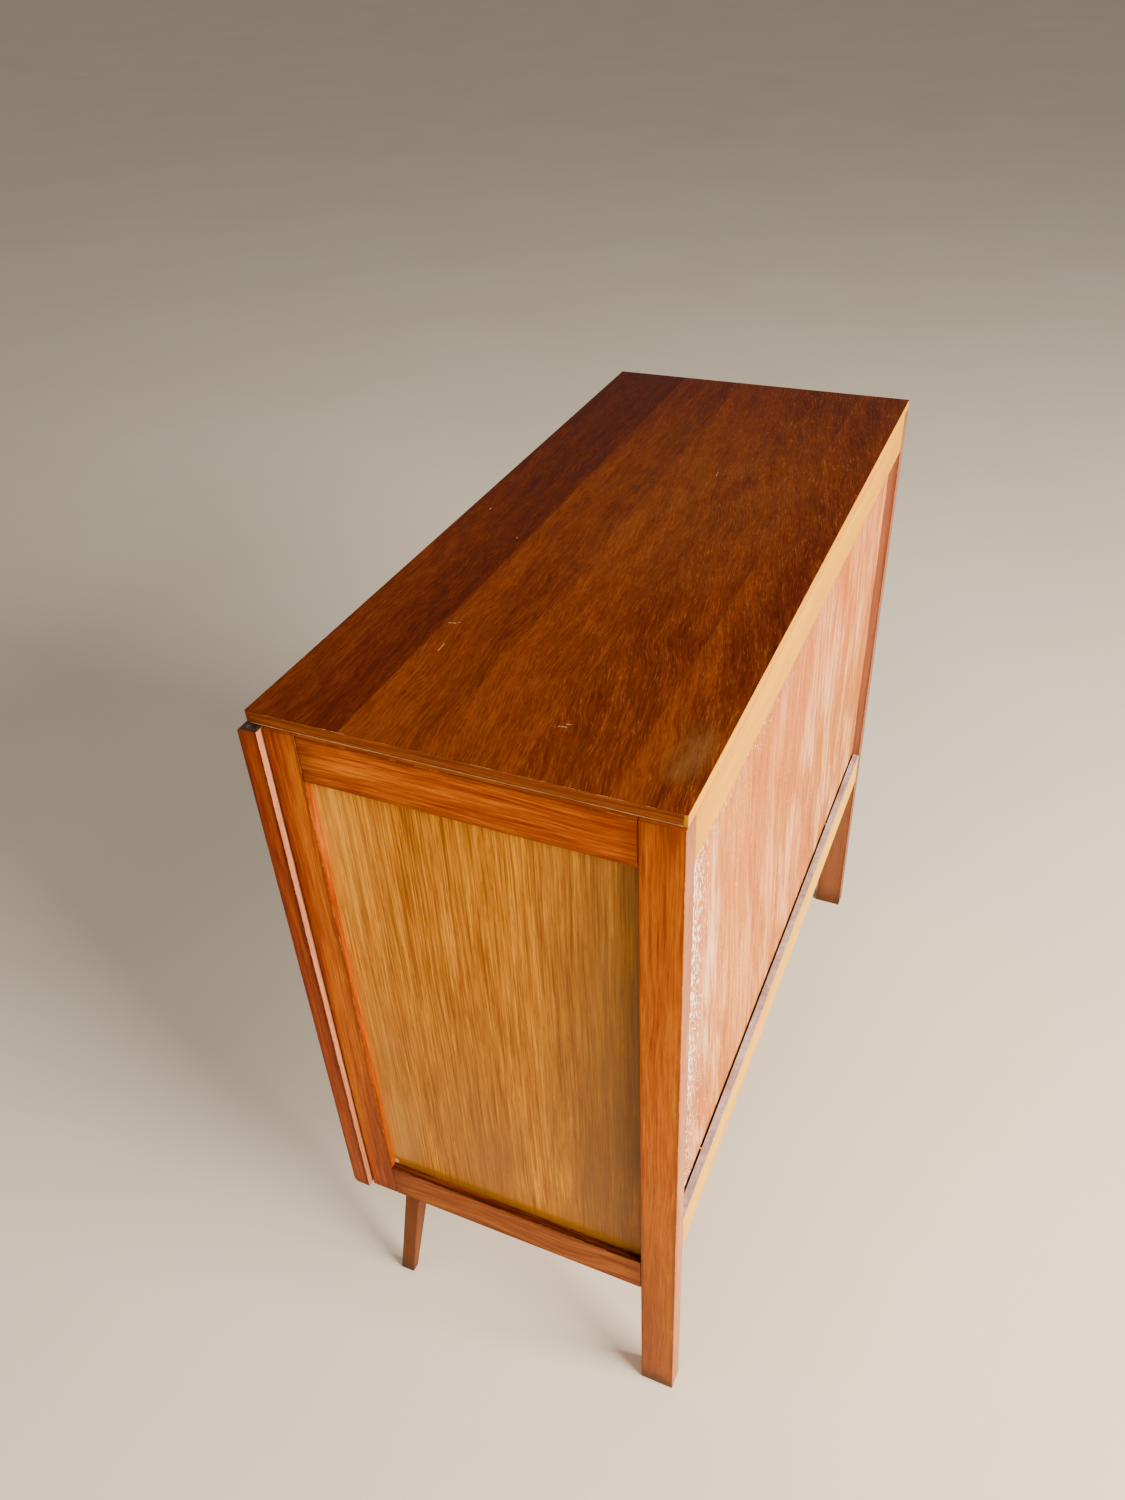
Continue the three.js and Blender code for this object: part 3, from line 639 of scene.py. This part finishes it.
looks = {name: wood(f"{name}_wood", **values) for name, values in FINISHES.items()}
looks.update({
    "top": top_veneer(),
    "oak": oak_veneer(),
    "back": hardboard(),
    "dust": dust(),
    "grime_and_shade": grime_and_shade(),
    "brass": metal("dull_brass", (0.55, 0.39, 0.14), (0.21, 0.13, 0.05), 0.42),
    "steel": metal("plain_steel", (0.46, 0.45, 0.43), (0.18, 0.15, 0.13), 0.40),
})


# ---------------------------------------------------------------- boards

# The sharpest arris, the gap where two boards meet, and the room round a hinge's leaf.
LEAST_RADIUS = 0.05 * MM
SEAM = 0.02 * MM
RECESS_ROOM = 0.3 * MM


def new_seed():
    """A number that sets a piece's grain apart from the others'."""
    return rng.uniform(0, 20)


def outline(u0, u1, v0, v1, radii, steps):
    """A rectangle with a radius at each corner, in the order low-low, high-low,
    high-high, low-high."""
    corners = [(u0, v0, 180), (u1, v0, 270), (u1, v1, 0), (u0, v1, 90)]
    points = []
    for (u, v, start), r in zip(corners, radii):
        cu = u + r if u == u0 else u - r
        cv = v + r if v == v0 else v - r
        for k in range(steps + 1):
            a = math.radians(start + 90 * k / steps)
            points.append((cu + r * math.cos(a), cv + r * math.sin(a)))
    return points


def stations(length, end_radius, pitch, steps):
    """(place along the board, how far the outline draws in) from end to end."""
    rounding = []
    for k in range(steps + 1):
        a = math.pi / 2 * k / steps
        rounding.append((end_radius * (1 - math.cos(a)), end_radius * (1 - math.sin(a))))
    count = max(1, round((length - 2 * end_radius) / pitch))
    middle = [(end_radius + (length - 2 * end_radius) * k / count, 0.0) for k in range(1, count)]
    far = [(length - t, inset) for t, inset in reversed(rounding)]
    return rounding + middle + far


def loft(rings):
    """A closed bmesh through rings of points, from the first ring to the last."""
    bm = bmesh.new()
    loops = [[bm.verts.new(point) for point in ring] for ring in rings]
    for a, b in zip(loops, loops[1:]):
        for i in range(len(a)):
            j = (i + 1) % len(a)
            bm.faces.new((a[i], a[j], b[j], b[i]))
    bm.faces.new(loops[0][::-1])
    bm.faces.new(loops[-1])
    bmesh.ops.recalc_face_normals(bm, faces=bm.faces)
    return bm


def to_mesh(bm, name):
    mesh = bpy.data.meshes.new(name)
    bm.to_mesh(mesh)
    bm.free()
    return mesh


def link(name, mesh, materials, body, nodes=()):
    """Puts a piece in the scene, on its body and in place of its CAD nodes."""
    piece = add_object(name, mesh)
    for material in materials:
        mesh.materials.append(material)
    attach(piece, body)
    if nodes:
        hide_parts(*nodes)


def paint_grain(mesh, centre, half, order, seed):
    """Stores the grain coordinates (along, wide, thin), half sizes and seed."""
    for attribute, kind in (("grain", "FLOAT_VECTOR"), ("half", "FLOAT_VECTOR"), ("seed", "FLOAT")):
        mesh.attributes.new(attribute, kind, "POINT")
    grain, size = [], []
    for vertex in mesh.vertices:
        off = vertex.co - centre
        grain += [off[a] for a in order]
        size += [half[a] for a in order]
    mesh.attributes["grain"].data.foreach_set("vector", grain)
    mesh.attributes["half"].data.foreach_set("vector", size)
    mesh.attributes["seed"].data.foreach_set("value", [seed] * len(mesh.vertices))


def board(name, low, high, along, look, slot, nodes=(), body="cabinet", radius=0.9 * MM,
          radii=None, end_radius=None, wobble=0.10 * MM, dents=(), faces=None, pitch=0.012,
          order=None, whole=None, seed=None):
    """A board between two corners, with eased and slightly uneven arrises.

    along is the axis (0, 1 or 2) that its grain follows. faces gives another
    look to the faces on one side, as {(axis, sign): look}. dents are
    (place, radius, depth), pushed in towards the board's middle. whole and
    seed let the parts of a notched board share one grain.
    """
    low, high = Vector(low), Vector(high)
    u_axis, v_axis = [a for a in range(3) if a != along]
    length = high[along] - low[along]
    radii = radii or [radius] * 4
    end_radius = radius if end_radius is None else end_radius
    steps = 4 if max(radii) > 2 * MM else 2
    centre, half = (low + high) / 2, (high - low) / 2

    rings = []
    for t, inset in stations(length, end_radius, pitch, 2):
        drawn = [max(r - inset, LEAST_RADIUS) for r in radii]
        section = outline(low[u_axis] + inset, high[u_axis] - inset,
                          low[v_axis] + inset, high[v_axis] - inset, drawn, steps)
        ring = []
        for u, v in section:
            point = Vector()
            point[along], point[u_axis], point[v_axis] = low[along] + t, u, v
            ring.append(point)
        rings.append(ring)
    bm = loft(rings)

    drift = Vector((rng.uniform(0, 50), rng.uniform(0, 50), rng.uniform(0, 50)))
    for vertex in bm.verts:
        inward = centre - vertex.co
        inward[along] = 0
        inward.normalize()
        amount = wobble * max(0.0, noise.noise(vertex.co * 45 + drift))
        for place, reach, depth in dents:
            away = (vertex.co - Vector(place)).length / reach
            amount += depth * math.exp(-away * away * 2)
        vertex.co += inward * amount
    # Only the narrow faces along the arrises are shaded smooth.
    for face in bm.faces:
        face.smooth = face.calc_area() < (2.5 * MM) * pitch and len(face.verts) == 4

    materials = [looks[look]]
    for (axis, sign), other in (faces or {}).items():
        materials.append(looks[other])
        for face in bm.faces:
            if face.normal[axis] * sign > 0.8:
                face.material_index = len(materials) - 1
    if order is None:
        wide, thin = (u_axis, v_axis) if half[u_axis] >= half[v_axis] else (v_axis, u_axis)
        order = (along, wide, thin)
    if whole:
        centre, half = (whole[0] + whole[1]) / 2, (whole[1] - whole[0]) / 2
    mesh = to_mesh(bm, name)
    paint_grain(mesh, centre, half, order, new_seed() if seed is None else seed)
    link(name, mesh, materials, body, nodes)


def cover(node, along, look, slot, **rest):
    """A board that stands for a CAD node, in its whole box."""
    low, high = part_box(node)
    board(f"{node}_wood", low, high, along, look, slot, [node], **rest)


def stretches(low, high, cuts):
    """The stretches between low and high that the cuts leave, as (start, end)."""
    edges = [low] + [edge for cut in sorted(cuts) for edge in cut] + [high]
    return list(zip(edges[::2], edges[1::2]))


# ---------------------------------------------------------------- the frame

def end_frame(name):
    """One end: the panel, and the leg, stile and rails without hinge recesses."""
    leg_low, leg_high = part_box(f"{name}_rear_leg")
    stile_low, stile_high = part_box(f"{name}_front_stile")
    gap = 0.25 * MM
    if name == "right":
        cover("right_rear_leg", Z, "leg", "frame_wood", radius=0.8 * MM,
              faces={(Y, 1): "leg_rear", (X, -1): "leg_inner"},
              dents=[((leg_high.x, leg_low.y, 0.31), 0.006, 0.5 * MM)])
        cover("right_front_stile", Z, "frame", "frame_wood", radius=0.8 * MM,
              dents=[((stile_high.x, stile_low.y, 0.62), 0.008, 0.5 * MM)])
    for rail, look, faces in (("top", "rail", {}), ("bottom", "low_rail", {(Z, 1): "shadow_stain"})):
        node = f"{name}_{rail}_rail"
        if node == "left_top_rail":
            continue
        low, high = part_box(node)
        low.y, high.y = stile_high.y + gap, leg_low.y - gap
        board(f"{node}_wood", low, high, Y, look, "frame_wood", [node], radius=0.7 * MM, faces=faces)
    cover(f"{name}_panel", Z, "oak", "oak_panel", radius=0.3 * MM, wobble=0, pitch=0.05)


def back_and_front():
    """The long rails, and the hardboard that closes the back."""
    inside = low_of("right_rear_leg").x - 0.15 * MM
    for node, look, slot in (("back_top_rail", "honey", "pale_wood"),
                             ("front_top_rail", "frame", "frame_wood"),
                             ("front_bottom_rail", "frame", "frame_wood")):
        low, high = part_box(node)
        low.x, high.x = -inside, inside
        board(f"{node}_wood", low, high, X, look, slot, [node])
    back_bottom_rail(inside)
    low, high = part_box("back_panel")
    board("back_panel_board", low, high, X, "back", "hardboard", ["back_panel"],
          radius=0.3 * MM, wobble=0, pitch=0.05, faces={(Y, -1): "board_inner"})


def back_bottom_rail(inside):
    """The bottom rail is in two steps: a dusty ledge, then the groove that the
    panel stands in, which is open in front of the panel."""
    low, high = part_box("back_bottom_rail")
    panel_low, panel_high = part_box("back_panel")
    groove = panel_high.y + 1.9 * MM
    # The rail's face towards the panel and the groove's bottom are painted near black as the shade inside
    # the narrow gap.
    board("back_bottom_rail_wood", (-inside, groove, low.z), (inside, high.y, high.z), X, "pale",
          "pale_wood", ["back_bottom_rail"], faces={(Z, 1): "dust", (Y, -1): "grime_and_shade"}, radius=0.35 * MM)
    board("back_bottom_rail_groove", (-inside, low.y, low.z),
          (inside, groove - SEAM, panel_low.z - 0.2 * MM), X, "pale", "pale_wood", faces={(Z, 1): "grime_and_shade"})
    for name, place, width in (("splinter_290", 0.290, 1.1 * MM), ("splinter_m210", -0.210, 0.8 * MM)):
        board(name, (place, panel_high.y - 0.1 * MM, high.z - 4 * MM),
              (place + width, groove + 0.3 * MM, high.z + 0.4 * MM), Y, "pale", "pale_wood",
              radius=0.15 * MM, pitch=0.001)


def inner_boards():
    """The shelf, its battens, and the cleats and blocks under the platform."""
    for node, along in (("shelf_batten_right", Y), ("shelf_batten_left", Y), ("bottom_shelf", X),
                        ("platform_cleat_right", Y), ("platform_cleat_left", Y), ("platform_cleat_back", X),
                        ("leg_block_right", Y), ("leg_block_left", Y)):
        cover(node, along, "ply", "plain_ply", radius=0.6 * MM)


def keep_cad(node, material, bevel):
    """A CAD node whose shape is right: eased edges and a better finish."""
    piece = frame["nodes"][node]
    piece.data.materials.clear()
    piece.data.materials.append(material)
    eased = piece.modifiers.new("eased", "BEVEL")
    eased.width = bevel
    eased.segments = 2
    eased.limit_method = "ANGLE"
    eased.angle_limit = math.radians(40)


def cut_boards():
    """CAD boards with hinge recesses, wells, pegs and trays, which keep their
    shape and take the finish's own grain."""
    for node, look, order in (
            ("left_rear_leg", "leg", (Z, Y, X)), ("left_front_stile", "frame", (Z, Y, X)),
            ("left_top_rail", "rail", (Y, Z, X)), ("lid_backing", "backing", (X, Y, Z)),
            ("machine_platform", "platform", (X, Y, Z)), ("front_flap", "platform", (X, Y, Z)),
            ("spool_rack", "ply", (X, Y, Z)), ("door_tray", "ply", (X, Y, Z))):
        low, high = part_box(node)
        cad = ((low + high) / 2, (high - low) / 2, order, new_seed())
        bare = UNPOLISHED if node == "left_rear_leg" else None
        material = wood(f"{node}_wood", cad=cad, bare=bare, **FINISHES[look])
        keep_cad(node, material, 0.2 * MM if node == "lid_backing" else 0.4 * MM)


# ---------------------------------------------------------------- lid

def lid():
    """A thin veneer over a core and four lippings; the hinges' moving leaves
    are let into the underside at the left end."""
    core_low, core_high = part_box("lid_board")
    veneer = core_high.z - 0.7 * MM
    low = Vector((low_of("lid_lipping_left").x, low_of("lid_lipping_front").y, veneer))
    high = Vector((high_of("lid_lipping_right").x, high_of("lid_lipping_back").y, core_high.z))
    chips = [((high.x, -0.098, high.z), 0.0022, 0.7 * MM), ((high.x, 0.059, high.z), 0.0018, 0.6 * MM),
             ((high.x, -0.155, high.z), 0.0015, 0.5 * MM)]
    board("lid_top", low, high, Y, "top", "top_veneer", ["lid_board"], body="lid",
          radius=0.3 * MM, wobble=0.08 * MM, dents=chips, pitch=0.003, order=(X, Y, Z))

    leaves = [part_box(f"lid_hinge_{place}_moving_leaf") for place in ("front", "back")]
    cuts = [(leaf[0].y - RECESS_ROOM, leaf[1].y + RECESS_ROOM) for leaf in leaves]
    recess_top = leaves[0][0].z + 1.9 * MM
    recess_end = leaves[0][1].x + RECESS_ROOM
    under = veneer - SEAM
    core = [("lid_core", (core_low.x, core_low.y, recess_top), (core_high.x, core_high.y, under), 0.2 * MM),
            ("lid_core_sheet", (recess_end, core_low.y, core_low.z), (core_high.x, core_high.y, recess_top),
             LEAST_RADIUS)]
    for count, (start, end) in enumerate(stretches(core_low.y, core_high.y, cuts)):
        core.append((f"lid_core_left_{count}", (core_low.x, start, core_low.z),
                     (recess_end, end, recess_top), LEAST_RADIUS))
    for name, low, high, radius in core:
        board(name, low, high, X, "ply", "plain_ply", body="lid", radius=radius, wobble=0, pitch=0.05)

    for place, along, look, slot in (
            ("front", X, "lipping", "top_veneer"), ("back", X, "honey", "pale_wood"),
            ("right", Y, "lipping", "top_veneer")):
        node = f"lid_lipping_{place}"
        low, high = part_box(node)
        if place == "right":
            seam = Vector((high.x, high.y, low.z + 0.9 * MM))
            board(f"{node}_underside", low, seam, along, "ply", "pale_wood", body="lid", radius=0.3 * MM,
                  wobble=0.25 * MM, pitch=0.004)
            low.z = seam.z
        high.z = under
        board(f"{node}_wood", low, high, along, look, slot, [node], body="lid", radius=0.25 * MM,
              wobble=0.08 * MM, pitch=0.006)
    left_lipping(cuts, recess_top, under)


def left_lipping(cuts, recess_top, under):
    """The lipping that the hinge leaves pass beneath, in lengths that meet."""
    low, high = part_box("lid_lipping_left")
    seed = new_seed()
    open_spans = stretches(low.y, high.y, cuts)
    seam = low.z + 1.1 * MM
    for count, (start, end) in enumerate(open_spans):
        board(f"lid_lipping_left_underside_{count}", (low.x, start, low.z), (high.x, end, seam), Y,
              "backing", "pale_wood", body="lid", radius=0.3 * MM, end_radius=0.1 * MM, pitch=0.004)
    spans = [(start, end, seam) for start, end in open_spans] + [(*cut, recess_top) for cut in cuts]
    for count, (start, end, bottom) in enumerate(sorted(spans)):
        nodes = ["lid_lipping_left"] if count == 0 else ()
        board(f"lid_lipping_left_wood_{count}", (low.x, start, bottom), (high.x, end, under), Y, "lipping",
              "top_veneer", nodes, body="lid", radius=0.2 * MM, end_radius=LEAST_RADIUS, wobble=0,
              pitch=0.006, whole=(low, high), seed=seed)


# ---------------------------------------------------------------- door

def door():
    """The slab's bottom front edge is well rounded, and its top is worn round."""
    for node, pitch in (("door_board", 0.03), ("door_lipping_left", 0.002), ("door_lipping_right", 0.002)):
        # An X board's outline runs in Y and Z: low-low is the bottom front.
        end = 0.3 * MM if node == "door_board" else 0.7 * MM
        # The top faces are dark with dirt and with painted shade from under the lid.
        cover(node, X, "door", "frame_wood", body="door", radii=[6 * MM, 0.3 * MM, 0.5 * MM, 3.5 * MM],
              end_radius=end, pitch=pitch, faces={(Z, 1): "grime_and_shade"}, order=(Z, X, Y))
    door_backing()


def door_backing():
    """The door's rear face, let in at the left for the hinges' leaves."""
    low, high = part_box("door_backing")
    leaves = [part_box(f"door_hinge_{place}_door_leaf") for place in ("bottom", "top")]
    recess_end = leaves[0][1].x + RECESS_ROOM
    cuts = [(leaf[0].z - RECESS_ROOM, leaf[1].z + RECESS_ROOM) for leaf in leaves]
    # The rear face takes the paler door_rear colour, painted light for the window's strong light on it.
    shared = dict(body="door", faces={(Y, 1): "door_rear"}, order=(Z, X, Y), whole=(low, high),
                  seed=new_seed(), wobble=0, end_radius=0.3 * MM)
    # A Z board's outline runs in X and Y: low-low is the left front.
    board("door_backing_wood", (recess_end, low.y, low.z), high, Z, "door", "pale_wood", ["door_backing"],
          radii=[0.05 * MM, 0.2 * MM, 0.5 * MM, 0.05 * MM], **shared)
    for count, (start, end) in enumerate(stretches(low.z, high.z, cuts)):
        board(f"door_backing_left_{count}", (low.x, low.y, start), (recess_end, high.y, end), Z, "door",
              "pale_wood", radii=[0.2 * MM, 0.05 * MM, 0.05 * MM, 0.4 * MM], **shared)


# ---------------------------------------------------------------- legs, metal

def front_leg(name):
    """A tapered leg lofted between the CAD leg's foot and its top."""
    node = f"front_leg_{name}"
    points = [v.co.copy() for v in frame["nodes"][node].data.vertices]
    foot = [p for p in points if p.z < 1 * MM]
    head = [p for p in points if p.z > 100 * MM]
    height = head[0].z
    ends = []
    for group in (foot, head):
        xs, ys = [p.x for p in group], [p.y for p in group]
        ends.append((min(xs), max(xs), min(ys), max(ys)))
    count = 24
    drift = Vector((rng.uniform(0, 50), 0, 0))
    rings = []
    for t, inset in stations(height, 0.8 * MM, height / count, 2):
        share = t / height
        x0, x1, y0, y1 = (a + (b - a) * share for a, b in zip(*ends))
        middle = Vector(((x0 + x1) / 2, (y0 + y1) / 2, t))
        radius = max(1.4 * MM - inset, LEAST_RADIUS)
        ring = []
        for x, y in outline(x0 + inset, x1 - inset, y0 + inset, y1 - inset, [radius] * 4, 3):
            point = Vector((x, y, t))
            worn = 0.1 * MM * noise.noise(point * 60 + drift)
            ring.append(point + (middle - point).normalized() * max(worn, 0))
        rings.append(ring)
    mesh = to_mesh(loft(rings), node)
    low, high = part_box(node)
    paint_grain(mesh, (low + high) / 2, (high - low) / 2, (Z, Y, X), new_seed())
    link(f"{node}_wood", mesh, [looks["front_leg"]], "cabinet", [node])


def screw(name, place, facing, body, look="brass", radius=3.0 * MM):
    """A countersunk slotted screw head, nearly flush."""
    sides = 20
    turns = [2 * math.pi * k / sides for k in range(sides)]
    # The head's profile from its neck up: (share of the radius, millimetres above the plate).
    profile = ((0.9, -0.3), (1.0, 0.0), (0.92, 0.14), (0.55, 0.28), (0.02, 0.30))
    bm = loft([[Vector((r * radius * math.cos(a), r * radius * math.sin(a), z * MM)) for a in turns]
               for r, z in profile])
    slot_turn = Matrix.Rotation(rng.uniform(0, math.pi), 3, "Z")
    slot_half, slot_depth = 0.42 * MM, 0.5 * MM
    for vertex in bm.verts:
        if abs((slot_turn @ vertex.co).y) < slot_half and vertex.co.length < 0.93 * radius:
            vertex.co.z -= slot_depth
    facing = Vector(facing).to_track_quat("Z", "Y").to_matrix().to_4x4()
    bmesh.ops.transform(bm, matrix=Matrix.Translation(place) @ facing, verts=bm.verts)
    link(name, to_mesh(bm, name), [looks[look]], body)


def metalwork():
    """The CAD hardware: brass leaves, and steel pins, plates, arms and catch."""
    for node in frame["nodes"]:
        if node.endswith("_leaf"):
            keep_cad(node, looks["brass"], 0.15 * MM)
        elif node.endswith(("_pin", "_plate", "_arm")) or node.startswith("catch"):
            keep_cad(node, looks["steel"], 0.15 * MM)


def hinge_screws():
    """Screws through the leaves, in the pattern that each kind of hinge takes."""
    left_end = -high_of("right_rear_leg").x
    rail_top = high_of("left_top_rail").z
    # Millimetres: (off the leaf's middle, below the rail's top, in from the moving leaf's edge).
    lid_pattern = ((-13, 12, 24), (13, 12, 24), (0, 26, 8))
    for place in ("front", "back"):
        low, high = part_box(f"lid_hinge_{place}_moving_leaf")
        middle = (low.y + high.y) / 2
        for count, (off, down, inward) in enumerate(lid_pattern):
            y, z, x = middle + off * MM, rail_top - down * MM, high.x - inward * MM
            screw(f"lid_hinge_{place}_fixed_screw_{count}", (left_end, y, z), (-1, 0, 0), "cabinet")
            screw(f"lid_hinge_{place}_moving_screw_{count}", (x, y, low.z), (0, 0, -1), "lid")
    stile_front = low_of("left_front_stile").y
    door_rear = high_of("door_backing").y
    for place in ("bottom", "top"):
        low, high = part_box(f"door_hinge_{place}_door_leaf")
        middle = (low.z + high.z) / 2
        for count, off in enumerate((-17, 0, 17)):
            x, z = high.x - 7 * MM, middle + off * MM
            screw(f"door_hinge_{place}_frame_screw_{count}", (x, stile_front, z), (0, -1, 0), "cabinet")
            screw(f"door_hinge_{place}_door_screw_{count}", (x, door_rear, z), (0, 1, 0), "door")


def fitting_screws():
    """Screws of the flap's strip hinge and of the sewing machine's two plates."""
    low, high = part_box("flap_hinge_fixed_leaf")
    under = high.z - 1.1 * MM
    inset, margin, last = 5.5 * MM, 15 * MM, 7
    rear = high_of("flap_hinge_moving_leaf").y - inset
    for count in range(last + 1):
        x = low.x + margin + count * (high.x - low.x - 2 * margin) / last
        screw(f"flap_hinge_fixed_screw_{count}", (x, low.y + inset, under), (0, 0, -1), "cabinet",
              radius=2.0 * MM)
        screw(f"flap_hinge_moving_screw_{count}", (x, rear, under), (0, 0, -1), "flap", radius=2.0 * MM)
    for side in ("left", "right"):
        low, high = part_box(f"machine_hinge_{side}_plate")
        for count, x in enumerate((low.x + 6 * MM, high.x - 6 * MM)):
            screw(f"machine_hinge_{side}_screw_{count}", (x, high.y - 7 * MM, high.z), (0, 0, 1), "cabinet",
                  "steel", 2.4 * MM)


make_camera()
end_frame("right")
end_frame("left")
back_and_front()
inner_boards()
cut_boards()
lid()
door()
front_leg("right")
front_leg("left")
metalwork()
hinge_screws()
fitting_screws()


# ---------------------------------------------------------------- floor and light

def floor():
    """A wide plain floor at the height of the feet."""
    mesh = bpy.data.meshes.new("floor")
    reach = 30
    mesh.from_pydata([(-reach, -reach, 0), (reach, -reach, 0), (reach, reach, 0), (-reach, reach, 0)],
                     [], [(0, 1, 2, 3)])
    mesh.materials.append(floor_paint())
    add_object("floor", mesh)


def light(name, direction, strength, color, size, distance):
    """An area light that shines along direction, towards the table's middle."""
    data = bpy.data.lights.new(name, "AREA")
    data.energy = strength
    data.color = color
    data.shape = "RECTANGLE"
    data.size, data.size_y = size
    lamp = add_object(name, data)
    direction = Vector(direction).normalized()
    aim(lamp, direction)
    lamp.location = Vector((0, 0, 0.45)) - direction * distance


def world():
    """A dim warm surround."""
    sky = bpy.data.worlds.new("studio")
    sky.use_nodes = True
    background = sky.node_tree.nodes["Background"]
    background.inputs["Color"].default_value = (1.0, 0.95, 0.88, 1)
    background.inputs["Strength"].default_value = 0.30
    bpy.context.scene.world = sky


floor()
light("window", (-0.23, -0.90, -0.36), 330, (1.0, 0.95, 0.88), size=(1.8, 1.5), distance=3.0)
light("fill", (-0.35, 0.1, -0.9), 20, (1.0, 0.95, 0.9), size=(2.0, 1.6), distance=2.8)
world()
